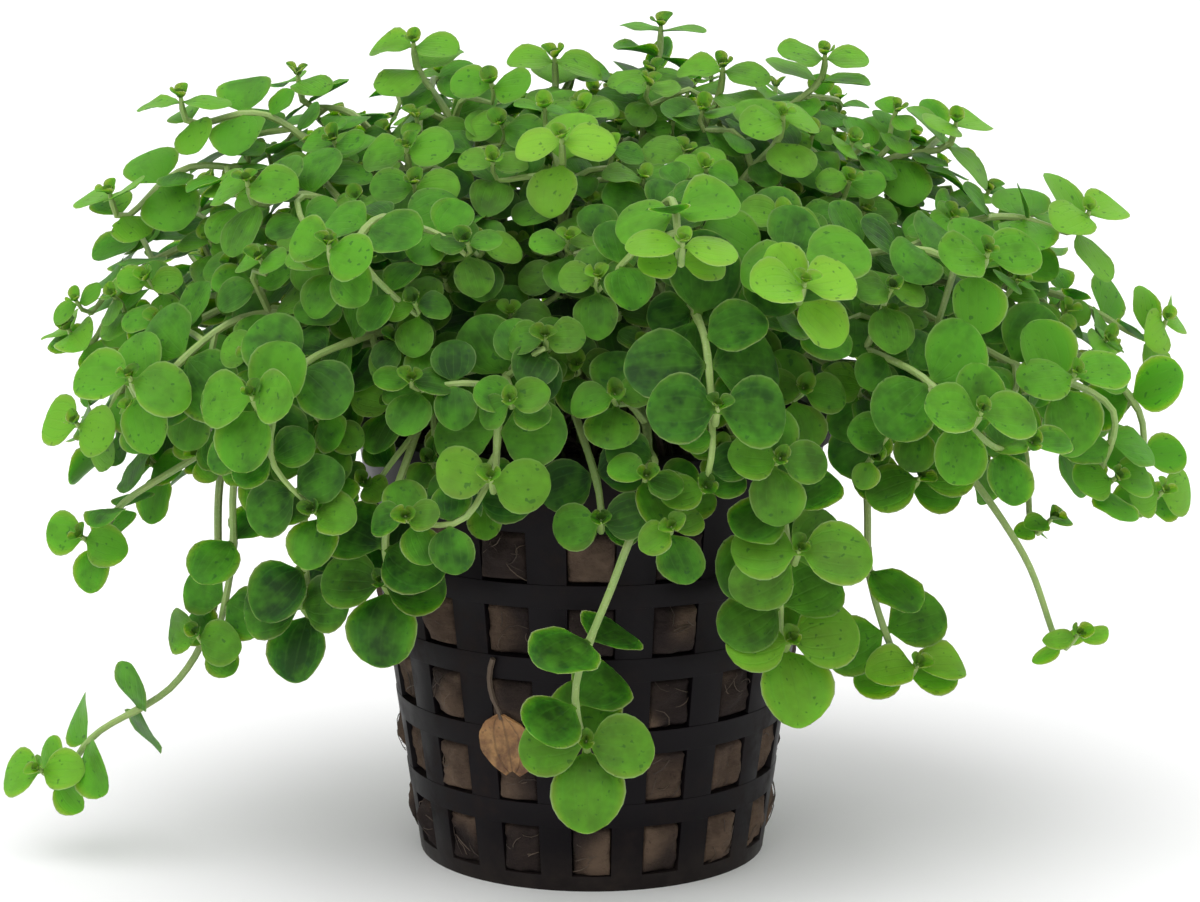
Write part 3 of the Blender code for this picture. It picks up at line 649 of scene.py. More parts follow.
ROUND_SIDES = 7
STEM_FOOT_RADIUS = 0.55
STEM_TIP_RADIUS = 0.33
STEM_END = 0.6
STEM_SUNK = 2.0
NODE_SWELL = 1.3
NODE_REACH = 0.8
STEM_PALE = (0.25, 0.9)
STEM_VARIETY = (0.85, 1.0)
SIDE_STEM_RADII = (0.38, 0.25)
SIDE_STEM_VARIETY = (0.75, 1.0)
GROWTH_SHARP = 50.0

# The cone has five spans for each column: three make a window and two make half a rib each.
COLUMN_PITCH = math.tau / COLUMNS
SPANS = 5
WINDOW_SPANS = 3
BASE_LEVEL = 0.1
# The bands between the rows stand a little proud. There is none above the top row.
BAND_PROUD = 0.09
BAND_ROWS = ROWS - 0.4
OUTER_SIDE = 0.5
EDGE_ROUND = 0.28
ROUNDED_EDGES = 40.0
PLASTIC_SHARP = 35.0

# The plug swells out through each window, by a different amount.
WOOL_STEPS = 320
WOOL_LEVEL = 0.41
WOOL_MERGE = 0.02
BASE_RINGS = 6
TOP_RINGS = 9
WOOL_FLUSH = 1.2
BULGE = 0.45
BULGE_SPREAD = 0.75
DOME_CURVE = 0.7
GROOVE = 0.1
ROUGH_SCALE = 0.35
ROUGH_SETTINGS = (0.9, 2.0, 4)
ROUGH_TOP = 0.8
# On its side the plug is rougher where it swells: the least, and what that adds.
ROUGH_SIDE = (0.15, 0.45)
TOUCH = 0.01

# Strands hug the wool: how far off it they are at their ends, and what they arch by.
WINDOW_FIBRES = 300
FIBRE_ASIDE = 0.23
FIBRE_ABOVE = (0.12, 0.88)
FIBRE_REACH = (0.8, 2.4)
FIBRE_BEND = 0.6
FIBRE_LIFT = (0.05, 0.09)
FIBRE_RADII = (0.04, 0.07)
FIBRE_SHADES = (0.0, 0.8)
FIBRE_PALEST = 0.6
PALE_CURVE = 4
# Strands on the top follow its dome, which falls by so much at such a radius.
TOP_FIBRES = 160
TOP_FIBRE_SPREAD = (22.0, 22.5)
TOP_FIBRE_REACH = (1.5, 4.0)
TOP_FIBRE_RADII = (0.07, 0.16)
TOP_FALL = (1.8, 23.0)
TOP_LIFT = (0.5, 1.2)
RUNNERS = 16
RUNNER_ARC = (-2.3, -0.8)
RUNNER_START = (17.0, 45.0)
RUNNER_ASIDE = 6.0
RUNNER_OUT = (2.0, 5.0)
RUNNER_RISE = (4.0, 9.0)
RUNNER_RADII = (0.2, 0.38)
RUNNER_SIDES = 6
RUNNER_SHADES = (0.0, 0.7)
RUNNER_PALE = 0.1
# A runner arches over the rim: its rise, how far aside it is and how far out, at each turn.
RUNNER_TURNS = ((0.7, 0.2, 0.0), (1.0, 0.6, 0.5), (0.55, 1.0, 1.0))
RUNNER_END = (1.2, 1.3, 0.7)

# The dead leaf's spine, as (place across, height), and its half width along it.
DEAD_SPINE = ((-9.5, 19.8), (-9.0, 17.9), (-8.6, 15.6), (-8.3, 13.7))
DEAD_WIDTHS = ((0.0, 0.4), (0.14, 1.9), (0.36, 2.9), (0.62, 3.0), (0.84, 2.1), (0.95, 1.3), (1.0, 0.7))
DEAD_GRID = (12, 15)
DEAD_SAG = 0.5
DEAD_CREASE = (0.25, 0.9)
DEAD_STAND = 0.45
DEAD_CURL = 0.30
DEAD_LIFT = 0.5
DEAD_THICK = 0.22
DEAD_SHARP = 50.0
STALK_ROUTE = ((-10.3, 26.0), (-10.7, 24.2), (-10.5, 22.0), (-9.9, 20.6), (-9.5, 19.3))
STALK_RADII = (0.28, 0.06)
STALK_SIDES = 6
STALK_MARK = (0.75, 0.35, 0.0)

DEEP_GREEN = (0.012, 0.045, 0.0060)
FRESH_GREEN = (0.070, 0.248, 0.013)
YOUNG_GREEN = (0.245, 0.500, 0.036)
FOOT_GREEN = (0.150, 0.300, 0.030)
VEIN_GREEN = (0.090, 0.260, 0.030)
BACK_GREEN = (0.058, 0.150, 0.028)
MARGIN_AND_RIM_LIGHT_GREEN = (0.230, 0.410, 0.095)
SPECK_GREEN = (0.015, 0.060, 0.015)
STEM_BROWN = (0.100, 0.105, 0.040)
STEM_GREEN = (0.300, 0.430, 0.120)
STEM_PATCH = (0.150, 0.300, 0.060)
STEM_FLECK = (0.480, 0.560, 0.300)
POT_BLACK = (0.0046, 0.0034, 0.0046)
POT_DUST = (0.022, 0.015, 0.013)
POT_SCUFF = (0.022, 0.018, 0.018)
POT_SILT = (0.06, 0.046, 0.036)
WOOL_DARK = (0.050, 0.033, 0.024)
WOOL_TAN = (0.118, 0.080, 0.055)
WOOL_STRAND = (0.150, 0.108, 0.078)
WOOL_HOLLOW_SHADE = (0.026, 0.018, 0.014)
WOOL_WET = (0.011, 0.008, 0.009)
FIBRE_DARK = (0.024, 0.016, 0.012)
FIBRE_TAN = (0.085, 0.058, 0.040)
FIBRE_PALE = (0.200, 0.145, 0.095)
FIBRE_PATCH = (0.070, 0.045, 0.030)
DEAD_DARK = (0.105, 0.046, 0.018)
DEAD_TAN = (0.370, 0.205, 0.075)
DEAD_ORANGE = (0.330, 0.165, 0.060)
DEAD_VEIN = (0.090, 0.045, 0.022)
DEAD_SPOT = (0.050, 0.028, 0.016)

FLOOR_SIZE = 6.0
FLOOR_PALE = (0.93, 0.93, 0.93)
SKY_WHITE = (1.0, 1.0, 1.0, 1)
SKY_STRENGTH = 0.82
KEY_LIGHT = ((-0.3, -0.55, 1.1), 75.0, 1.75)
RIM_LIGHT = ((0.5, 0.6, 0.8), 60.0, 0.5)
CAMERA_LENS = 124.2
CAMERA_SENSOR = 36.0
CAMERA_TILT = 11.4
CAMERA_AIM = (0.0009, 0, 0.044)
CAMERA_DISTANCE = 0.450


class Finish:
    """A material in the making: its shader, the place that its patterns follow, and its colour so far."""

    def __init__(self, name, colour, roughness):
        self.material = bpy.data.materials.new(name)
        self.material.use_nodes = True
        self.tree = self.material.node_tree
        self.shader = self.tree.nodes["Principled BSDF"]
        self.place = self.node("ShaderNodeTexCoord").outputs["Object"]
        self.colour = colour
        self.set("Roughness", roughness)

    def plug(self, socket, value):
        """Links another node's socket, or sets a plain value. A plain colour is opaque."""
        if isinstance(value, bpy.types.NodeSocket):
            self.tree.links.new(value, socket)
        elif socket.type == "RGBA":
            socket.default_value = (*value, 1)
        else:
            socket.default_value = value

    def set(self, name, value):
        self.plug(self.shader.inputs[name], value)

    def node(self, kind, inputs=None, **settings):
        made = self.tree.nodes.new(kind)
        for key, value in settings.items():
            setattr(made, key, value)
        for key, value in (inputs or {}).items():
            self.plug(made.inputs[key], value)
        return made

    def in_order(self, made, *values):
        """Fills a node's sockets from the first on, and gives what comes out."""
        for socket, value in zip(made.inputs, values):
            self.plug(socket, value)
        return made.outputs[0]

    def math(self, way, *values):
        return self.in_order(self.node("ShaderNodeMath", operation=way), *values)

    def weighted(self, *parts):
        """The sum of some values, each by its weight."""
        total = 0.0
        for value, weight in parts:
            total = self.math("MULTIPLY_ADD", value, weight, total)
        return total

    def step(self, value, start, full, low=0.0, high=1.0):
        """A smooth step: low where the value is at the start, and high where it is full."""
        step = self.node("ShaderNodeMapRange", interpolation_type="SMOOTHSTEP")
        return self.in_order(step, value, start, full, low, high)

    def noise(self, scale, detail=2.0, roughness=0.5, turned=None, stretched=None):
        """A cloudy pattern, or one of strands where it is turned and stretched."""
        place = self.place
        if turned:
            mapping = {"Vector": place, "Rotation": turned, "Scale": stretched}
            place = self.node("ShaderNodeMapping", mapping).outputs[0]
        inputs = {"Vector": place, "Scale": scale, "Detail": detail, "Roughness": roughness}
        return self.node("ShaderNodeTexNoise", inputs).outputs["Fac"]

    def marks(self):
        """The three numbers that the growth writes at every point, as sockets."""
        mark = self.node("ShaderNodeAttribute", attribute_type="GEOMETRY", attribute_name="mark")
        return self.node("ShaderNodeSeparateXYZ", {"Vector": mark.outputs["Vector"]}).outputs

    def on_blade(self):
        """How far off a blade's middle a point lies, and how far along it, both from 0 to 1."""
        on_blade = self.node("ShaderNodeUVMap", uv_map="UVMap").outputs[0]
        across, along = self.node("ShaderNodeSeparateXYZ", {"Vector": on_blade}).outputs[:2]
        return self.math("ABSOLUTE", self.math("MULTIPLY_ADD", across, 2.0, -1.0)), along

    def veins(self, off_middle, places, half_wide):
        """A blade's veins: one along its middle, and one at each of these places towards its margin."""
        nearest = off_middle
        for place in places:
            off_vein = self.math("ABSOLUTE", self.math("SUBTRACT", off_middle, place))
            nearest = self.math("MINIMUM", nearest, off_vein)
        return self.step(nearest, start=half_wide, full=0.0)

    def tint(self, colour, share, most=1.0):
        """Lays a colour over the one so far: where the share says, and at most so strongly."""
        mix = self.node("ShaderNodeMix", data_type="RGBA")
        below, above = (socket for socket in mix.inputs if socket.type == "RGBA")
        self.plug(mix.inputs[0], self.math("MULTIPLY", share, most))
        self.plug(below, self.colour)
        self.plug(above, colour)
        self.colour = next(socket for socket in mix.outputs if socket.type == "RGBA")

    def flesh(self, weight, radius, scale):
        """Lets light through, as thin leaves do."""
        self.set("Subsurface Weight", weight)
        self.set("Subsurface Radius", radius)
        self.set("Subsurface Scale", scale)

    def bumps(self, height, distance, strength):
        bump = self.node("ShaderNodeBump", {"Height": height, "Distance": distance, "Strength": strength})
        self.set("Normal", bump.outputs[0])

    def done(self):
        self.set("Base Color", self.colour)
        return self.material


def leaf_finish():
    """Green blades with arching veins, a pale thin margin that is partly the blade's paler edge and partly
    painted rim light, faint patches, dark specks and a greyer back.
    """
    leaf = Finish("leaf_blade", DEEP_GREEN, roughness=0.5)
    tint, young, under = leaf.marks()
    off_middle, along = leaf.on_blade()
    patches = leaf.noise(scale=210.0, detail=3.0, roughness=0.6)
    mottle = leaf.noise(scale=620.0, roughness=0.6)
    grain = leaf.noise(scale=2300.0, roughness=0.6)
    specks = leaf.step(leaf.noise(scale=1500.0, detail=1.0), start=0.66, full=0.74)
    veins = leaf.veins(off_middle, places=(0.36, 0.68), half_wide=0.055)
    veins = leaf.math("MULTIPLY", veins, leaf.step(along, start=1.0, full=0.45, low=0.15))
    tip = leaf.step(along, start=0.965, full=1.0)
    margin = leaf.math("MAXIMUM", leaf.step(off_middle, start=0.92, full=1.0), tip)
    broad = leaf.step(patches, start=0.30, full=0.70, low=-0.26, high=0.26)
    fine = leaf.step(mottle, start=0.32, full=0.68, low=-0.15, high=0.15)

    # The tint mark holds each leaf's freshness together with its painted light and shade.
    leaf.tint(FRESH_GREEN, leaf.weighted((tint, 1.0), (broad, 1.0), (fine, 1.0)))
    leaf.tint(YOUNG_GREEN, young, most=0.60)
    leaf.tint(FOOT_GREEN, leaf.step(along, start=0.20, full=0.02), most=0.50)
    leaf.tint(VEIN_GREEN, veins, most=0.12)
    leaf.tint(BACK_GREEN, under, most=0.35)
    # The pale margin is partly the blade's paler edge and partly painted rim light.
    leaf.tint(MARGIN_AND_RIM_LIGHT_GREEN, margin, most=0.30)
    leaf.tint(SPECK_GREEN, specks, most=0.55)

    leaf.set("Roughness", leaf.step(patches, start=0.3, full=0.7, low=0.44, high=0.62))
    leaf.set("Specular IOR Level", 0.13)
    leaf.flesh(weight=0.35, radius=(0.45, 1.0, 0.15), scale=0.0012)
    height = leaf.weighted((veins, -0.35), (grain, 0.40), (patches, 1.2))
    leaf.bumps(height, distance=0.00012, strength=0.5)
    return leaf.done()


def stem_finish():
    """Pale green stems, browner towards the root, with green patches and pale flecks."""
    stem = Finish("stem", STEM_BROWN, roughness=0.5)
    patches = stem.noise(scale=320.0, detail=3.0, roughness=0.6)
    grain = stem.noise(scale=2600.0, roughness=0.6)
    stem.tint(STEM_GREEN, stem.marks()[0])
    stem.tint(STEM_PATCH, stem.step(patches, start=0.35, full=0.75), most=0.5)
    stem.tint(STEM_FLECK, stem.step(grain, start=0.55, full=0.75), most=0.35)
    stem.flesh(weight=0.2, radius=(0.6, 1.0, 0.2), scale=0.0008)
    stem.bumps(grain, distance=0.00008, strength=0.5)
    return stem.done()


def plastic_finish():
    """Black moulded plastic, fine grained, scuffed on its edges, with brown dust in patches."""
    plastic = Finish("pot_plastic", POT_BLACK, roughness=0.5)
    height = plastic.node("ShaderNodeSeparateXYZ", {"Vector": plastic.place}).outputs[2]
    smears = plastic.noise(scale=95.0, detail=5.0, roughness=0.65)
    dust = plastic.noise(scale=420.0, detail=4.0, roughness=0.7)
    grain = plastic.noise(scale=5200.0, roughness=0.6)
    edges = plastic.node("ShaderNodeNewGeometry").outputs["Pointiness"]
    smeared = plastic.step(smears, start=0.45, full=0.70)
    dusty = plastic.math("MULTIPLY", smeared, plastic.step(dust, start=0.35, full=0.70))
    silt = plastic.math("MULTIPLY", plastic.step(height, start=0.006, full=0.0), dust)

    plastic.tint(POT_DUST, dusty, most=0.60)
    plastic.tint(POT_SCUFF, plastic.step(edges, start=0.52, full=0.60), most=0.18)
    plastic.tint(POT_SILT, silt, most=0.4)
    uneven = plastic.step(smears, start=0.3, full=0.7, low=0.36, high=0.52)
    plastic.set("Roughness", plastic.weighted((uneven, 1.0), (dusty, 0.30)))
    plastic.set("Specular IOR Level", 0.10)
    plastic.bumps(plastic.weighted((dust, 0.8), (grain, 0.3)), distance=0.00006, strength=0.35)
    return plastic.done()


def wool_finish():
    """Brown rock wool: matted fibres with painted shade in the hollows between them, darker where it is wet,
    with pale strands.
    """
    wool = Finish("wet_wool", WOOL_DARK, roughness=0.9)
    clumps = wool.noise(scale=150.0, detail=4.0, roughness=0.6)
    strands = wool.noise(1500.0, 4.0, 0.7, turned=(0.5, 0.4, 0.9), stretched=(1.0, 0.22, 1.0))
    crossing = wool.noise(1700.0, 3.0, 0.7, turned=(1.2, 0.8, 0.2), stretched=(0.25, 1.0, 1.0))
    fibre = wool.math("MAXIMUM", strands, crossing)
    wet = wool.step(wool.noise(scale=88.0, detail=1.0, roughness=0.4), start=0.60, full=0.42)
    wool.tint(WOOL_TAN, wool.step(clumps, start=0.32, full=0.68))
    wool.tint(WOOL_STRAND, wool.step(fibre, start=0.52, full=0.74), most=0.22)
    # Painted shade: darker in the hollows between the strands.
    wool.tint(WOOL_HOLLOW_SHADE, wool.step(fibre, start=0.46, full=0.36), most=0.5)
    wool.tint(WOOL_WET, wet, most=0.85)
    wool.set("Specular IOR Level", 0.15)
    wool.bumps(wool.weighted((fibre, 1.0), (clumps, 1.0)), distance=0.0004, strength=0.9)
    return wool.done()


def fibre_finish():
    """Single strands and rootlets, tan to dark brown."""
    fibre = Finish("fibre", FIBRE_DARK, roughness=0.8)
    shade, pale, _ = fibre.marks()
    patches = fibre.noise(scale=700.0, detail=3.0, roughness=0.6)
    fibre.tint(FIBRE_TAN, shade)
    fibre.tint(FIBRE_PALE, pale, most=0.5)
    fibre.tint(FIBRE_PATCH, fibre.step(patches, start=0.45, full=0.7), most=0.6)
    fibre.bumps(patches, distance=0.00005, strength=0.5)
    return fibre.done()


def dead_leaf_finish():
    """A withered blade: tan, orange brown towards its tip, with darker veins and dry spots."""
    dead = Finish("dead_leaf", DEAD_DARK, roughness=0.7)
    off_middle, along = dead.on_blade()
    patches = dead.noise(scale=420.0, detail=4.0, roughness=0.65)
    specks = dead.step(dead.noise(scale=1900.0), start=0.60, full=0.72)
    veins = dead.veins(off_middle, places=(0.45,), half_wide=0.07)
    dead.tint(DEAD_TAN, dead.step(patches, start=0.30, full=0.70))
    dead.tint(DEAD_ORANGE, dead.step(along, start=0.35, full=0.9), most=0.45)
    dead.tint(DEAD_VEIN, veins, most=0.45)
    dead.tint(DEAD_SPOT, specks, most=0.5)
    dead.flesh(weight=0.2, radius=(1.0, 0.5, 0.2), scale=0.0008)
    dead.bumps(dead.weighted((veins, -0.8), (patches, 1.0)), distance=0.00015, strength=0.8)
    return dead.done()


class Growth:
    """Collects many small shapes as arrays, and joins them into one mesh with its finishes."""

    def __init__(self):
        self.points = []
        self.faces = []
        self.uvs = []
        self.marks = []
        self.finishes = []
        self.count = 0

    def add(self, points, faces, uvs, marks, finish=0):
        self.points.append(points)
        self.faces += [[corner + self.count for corner in face] for face in faces]
        self.uvs.append(uvs)
        self.marks.append(marks)
        self.finishes += [finish] * len(faces)
        self.count += len(points)

    def piece(self, name, materials):
        mesh = bpy.data.meshes.new(name)
        mesh.from_pydata(np.concatenate(self.points) * MM, [], self.faces)
        layer = mesh.uv_layers.new(name="UVMap")
        layer.uv.foreach_set("vector", np.concatenate(self.uvs).astype(np.float32).ravel())
        mark = mesh.attributes.new("mark", "FLOAT_VECTOR", "POINT")
        mark.data.foreach_set("vector", np.concatenate(self.marks).astype(np.float32).ravel())
        for material in materials:
            mesh.materials.append(material)
        mesh.polygons.foreach_set("material_index", self.finishes)
        mesh.polygons.foreach_set("use_smooth", [True] * len(mesh.polygons))
        mesh.set_sharp_from_angle(angle=math.radians(GROWTH_SHARP))
        mesh.update()
        made = bpy.data.objects.new(name, mesh)
        bpy.context.scene.collection.objects.link(made)
        return made


def tube(points, radii, sides):
    """Points, faces and UVs of a closed tube round a line of points."""
    rings = []
    side = None
    total = len(points) - 1
    for index, point in enumerate(points):
        along = (points[min(index + 1, total)] - points[max(index - 1, 0)]).normalized()
        side = along.orthogonal() if side is None else side - along * side.dot(along)
        side.normalize()
        across = along.cross(side)
        for turn in range(sides):
            angle = math.tau * turn / sides
            out = side * math.cos(angle) + across * math.sin(angle)
            rings.append(tuple(point + out * radii[index]))
    faces = []
    uvs = []
    for index in range(total):
        for turn in range(sides):
            after = (turn + 1) % sides
            low = index * sides
            high = low + sides
            faces.append([low + turn, low + after, high + after, high + turn])
            left, right = turn / sides, (turn + 1) / sides
            bottom, top = index / total, (index + 1) / total
            uvs += [(left, bottom), (right, bottom), (right, top), (left, top)]
    faces.append(list(range(sides))[::-1])
    faces.append([total * sides + turn for turn in range(sides)])
    uvs += [(0.0, 0.0)] * sides + [(0.0, 1.0)] * sides
    return np.array(rings), faces, np.array(uvs)


def alone(made):
    """Makes an object the only one selected, and active."""
    bpy.ops.object.select_all(action="DESELECT")
    made.select_set(True)
    bpy.context.view_layer.objects.active = made


def edit(made):
    alone(made)
    bpy.ops.object.mode_set(mode="EDIT")


def object_mode():
    bpy.ops.object.mode_set(mode="OBJECT")


def pick(made, wanted):
    """In edit mode, selects only the faces for which wanted(middle, normal) holds."""
    bpy.ops.mesh.select_mode(type="FACE")
    bpy.ops.mesh.select_all(action="DESELECT")
    bm = bmesh.from_edit_mesh(made.data)
    for face in bm.faces:
        face.select_set(wanted(face.calc_center_median() / MM, face.normal))
    bm.select_flush_mode()
    bmesh.update_edit_mesh(made.data)


def pick_foot(made):
    """In edit mode, selects only the open edges at the pot's foot."""
    bpy.ops.mesh.select_mode(type="EDGE")
    bpy.ops.mesh.select_all(action="DESELECT")
    bm = bmesh.from_edit_mesh(made.data)
    for edge in bm.edges:
        middle = (edge.verts[0].co + edge.verts[1].co) / 2
        edge.select_set(edge.is_boundary and middle.z / MM < BASE_LEVEL)
    bm.select_flush_mode()
    bmesh.update_edit_mesh(made.data)


def mend_normals():
    bpy.ops.mesh.select_all(action="SELECT")
    bpy.ops.mesh.normals_make_consistent(inside=False)


def apply_modifier(made, kind, **settings):
    alone(made)
    modifier = made.modifiers.new(kind.lower(), kind)
    for key, value in settings.items():
        setattr(modifier, key, value)
    bpy.ops.object.modifier_apply(modifier=modifier.name)


def smooth_with(made, finish, sharp):
    """Smooth shading up to an angle, and the one finish."""
    alone(made)
    bpy.ops.object.shade_smooth_by_angle(angle=math.radians(sharp))
    made.data.materials.clear()
    made.data.materials.append(finish)


def leaf_outline():
    """The leaf's outline from its foot to its tip, as (share of its length, half width)."""
    outline = list(LEAF_FOOT)
    for degrees in OVAL_ANGLES:
        angle = math.radians(degrees)
        reach = OVAL_REAR if math.cos(angle) > 0 else OVAL_AHEAD
        outline.append((OVAL_MIDDLE - reach * math.cos(angle), OVAL_HALF_WIDE * math.sin(angle)))
    return outline


def leaf_blade():
    """The leaf that all the others copy: a round blade one unit long, thin at its margin, closed below.

    It gives the blade's points, faces and UVs, and how far each point lies under the upper side."""
    bpy.ops.object.select_all(action="DESELECT")
    outline = leaf_outline()
    rows = len(outline)
    bpy.ops.mesh.primitive_grid_add(x_subdivisions=BLADE_COLUMNS, y_subdivisions=rows - 1, size=2)
    blade = bpy.context.object
    edit(blade)
    bpy.ops.mesh.select_all(action="SELECT")
    bpy.ops.mesh.duplicate()
    bpy.ops.mesh.flip_normals()
    object_mode()
    columns = BLADE_COLUMNS + 1
    for index, point in enumerate(blade.data.vertices):
        is_under = index >= rows * columns
        row = round((point.co.y + 1) / 2 * (rows - 1))
        share, half = outline[row]
        across = point.co.x
        is_rim = abs(across) > BLADE_RIM or row == rows - 1
        thick = 0.0 if is_rim else BLADE_HALF_THICK * (BLADE_CROWN - abs(across))
        bow = BLADE_BOW * (1 - across**2) * share
        point.co = (across * half, share + bow, -thick if is_under else thick)
    edit(blade)
    bpy.ops.mesh.select_all(action="SELECT")
    bpy.ops.mesh.remove_doubles(threshold=BLADE_MERGE)
    object_mode()
    mesh = blade.data
    points = np.array([point.co for point in mesh.vertices])
    faces = [list(face.vertices) for face in mesh.polygons]
    uvs = np.array([corner.uv for corner in mesh.uv_layers.active.data])
    under = np.where(points[:, 2] < -ON_MIDDLE, 1.0, np.where(points[:, 2] > ON_MIDDLE, 0.0, 0.5))
    bpy.data.objects.remove(blade)
    return points, faces, uvs, under


def bent_blade(points, rng, cupped):
    """One leaf's own form: its cup, its droop, its fold along the middle and a wavy margin."""
    x, y, z = points.T
    width = rng.uniform(*BLADE_WIDTH)
    cup = cupped + rng.uniform(*BLADE_CUP)
    droop = rng.uniform(*BLADE_DROOP)
    fold = rng.uniform(*BLADE_FOLD)
    wave = rng.uniform(*BLADE_WAVE)
    beat = rng.uniform(*BLADE_BEAT)
    phase = rng.uniform(0.0, math.tau)
    lean = rng.uniform(*BLADE_LEAN)
    lifted = z + cup * x**2 + droop * np.maximum(y - DROOP_START, 0) ** 2 + fold * np.abs(x)
    lifted = lifted + wave * x**2 * np.sin(beat * y + phase + WAVE_OFFSET * np.sign(x))
    return np.stack([x * width + lean * y**2, y, lifted], axis=1)


def route_length(route):
    return (route[1] - route[0]).length * (len(route) - 1)


def plan_old_leaves(shoots, routes, crowd, rng):
    """Pairs of older leaves between and behind the planned ones, where there is room.

    Hanging stems stay bare further up."""
    old = [[] for _ in shoots]
    from_tip = OLD_FIRST
    while from_tip < max(route_length(route) for route in routes):
        for number, ((_, _, pairs, size), route) in enumerate(zip(shoots, routes)):
            lowest = HANGING_LOWEST if route[-1].z < HANGING_TIP else OLD_LOWEST
            point, _ = place_on(route, from_tip)
            if from_tip > route_length(route) - ROOT_BARE or point.z < lowest or pairs < FEWEST_PAIRS:
                continue
            for attempt in range(OLD_TRIES):
                turn = rng.uniform(0, math.tau)
                length = size * OLD_SIZE * rng.uniform(*OLD_VARIETY) * (1 - OLD_SHRINK * attempt / OLD_TRIES)
                place = from_tip + rng.uniform(-OLD_SHIFT, OLD_SHIFT)
                pair = leaf_pair(route, place, turn, length, False, rng)
                kept = [leaf for leaf in pair if crowd.room_for(leaf, number)]
                if len(kept) == 2 or (kept and attempt > OLD_TRIES // 2):
                    old[number] += kept
                    for leaf in kept:
                        crowd.add(leaf, number)
                    break
        from_tip += OLD_STEP
    return old


def hides_listed(point, listed_tips):
    """Whether a leaf here would stand before a listed tip, as the viewer sees it."""
    for tip in listed_tips:
        ahead = point.y - tip.y
        apart = math.hypot(point.x - tip.x, point.z - tip.z + SIGHT_SLOPE * ahead)
        if ahead < -SIGHT_DEPTH and apart < LISTED_SIGHT:
            return True
    return False


def side_goal(rng):
    """A place near the cushion's outside for the tip of a side shoot, or None in front of the pot."""
    point = cushion_point(rng.uniform(0, math.tau), rng.uniform(0, 1) ** SIDE_RISE)
    point.z = CUSHION_MIDDLE + (point.z - CUSHION_MIDDLE) * rng.uniform(*SIDE_DEPTH)
    depth = rng.uniform(*SIDE_DEPTH)
    point.x *= depth
    point.y *= depth * (SIDE_FRONT if point.y < 0 else 1.0)
    if point.y < LISTED_FRONT:
        point.z -= rng.uniform(0, SIDE_DROOP)
        lowest = np.interp(point.x, *zip(*FRONT_LOWEST))
        return point if point.z > lowest else None
    return point


def side_route(goal, routes, rng):
    """A short stem to the goal from the nearest main stem behind it, as (shoot, route), or None."""
    best = None
    first, last = PARENT_STEPS
    for number, route in enumerate(routes):
        for index in range(first, len(route) - last):
            if route[-1].z < HANGING_TIP and route[index].z < PARENT_LOWEST:
                break
            ahead = goal - route[index]
            reach = ahead.length
            forward = (route[index + 1] - route[index]).normalized()
            if not SIDE_SHORTEST < reach < SIDE_LONGEST or ahead.normalized().dot(forward) < SIDE_AHEAD:
                continue
            if best is None or reach < best[0]:
                best = (reach, number, route[index], forward)
    if best is None:
        return None
    reach, number, start, forward = best
    bend = goal - facing_at(goal) * SIDE_BEND
    middle = start.lerp(goal, 0.5) + forward * reach * SIDE_ARCH + random_step(SIDE_SWAY, rng)
    return number, smooth_route([start, middle, bend, goal])


def side_leaves(crowd, number, route, size, listed_tips, rng):
    """The leaves of a side shoot by rank, where there is room and they hide no listed tip."""
    leaves = {}
    for rank, from_tip in enumerate(SIDE_NODES):
        if from_tip > route_length(route) - SIDE_BARE:
            break
        for attempt in range(SIDE_TRIES):
            effort = attempt / SIDE_TRIES
            turn = rank * math.pi / 2 + rng.uniform(-1, 1) * (LEAF_TURN + LEAF_MORE_TURN * effort)
            length = size * SIDE_NODE_SIZES[rank] * (1 - SIDE_SHRINK * effort)
            is_terminal = rank < TERMINAL_RANKS
            pair = leaf_pair(route, from_tip, turn, length, is_terminal, rng)
            kept = [
                leaf for leaf in pair
                if crowd.room_for(leaf, number) and not hides_listed(leaf.at(0.5, 0), listed_tips)
            ]
            if len(kept) == 2 or (kept and not is_terminal and effort > SINGLE_LEAF_EFFORT):
                leaves[rank] = kept
                break
        if 0 not in leaves:
            break
    return leaves


def grow_side_shoots(routes, crowd, middles, listed_tips, rng):
    """Side shoots that close the bare places in the cushion, as (shoot, route, leaves by rank)."""
    grown = []
    for _ in range(SIDE_CANDIDATES):
        goal = side_goal(rng)
        if goal is None or min((goal - middle).length for middle in middles) < SIDE_SPACING:
            continue
        found = None if hides_listed(goal, listed_tips) else side_route(goal, routes, rng)
        if found is None:
            continue
        number, route = found
        length = route_length(route)
        places = np.linspace(length - PAST_FOOT, BEFORE_TIP, STEM_STATIONS)
        line = [place_on(route, from_tip)[0] for from_tip in places]
        stem = stem_tree(line, 0.0)
        centre = (line[0] + line[-1]) / 2
        if any((centre - near).length < length / 2 + reach and stem.overlap(tree)
               for _, near, reach, tree in crowd.items):
            continue
        size = rng.uniform(*SIDE_SIZES) - SIDE_SMALLER * (goal.z - CUSHION_MIDDLE)
        leaves = side_leaves(crowd, number, route, size, listed_tips, rng)
        if sum(len(kept) for kept in leaves.values()) < FEWEST_SIDE_LEAVES:
            continue
        for kept in leaves.values():
            for leaf in kept:
                crowd.add(leaf, number)
                middles.append(leaf.at(0.5, 0))
        crowd.items.append((number, centre, length / 2 + 1, stem))
        grown.append((number, route, leaves))
    return grown


def bud_leaves(route, rng):
    """The small folded leaves at a tip, the outer pair open and the inner one nearly shut."""
    tip, forward = place_on(route, BUD_PLACE)
    side = forward.orthogonal().normalized()
    across = forward.cross(side)
    spin = rng.uniform(0, math.pi)
    leaves = []
    for rank, (length, opening) in enumerate(zip(BUD_LENGTHS, BUD_OPENING)):
        for half_turn in (0, math.pi):
            turn = spin + rank * math.pi / 2 + half_turn
            out = side * math.cos(turn) + across * math.sin(turn)
            along = (forward + out * opening).normalized()
            leaves.append(Leaf(tip, along, forward - out * BUD_LEAN, length * rng.uniform(*BUD_VARIETY)))
    return leaves


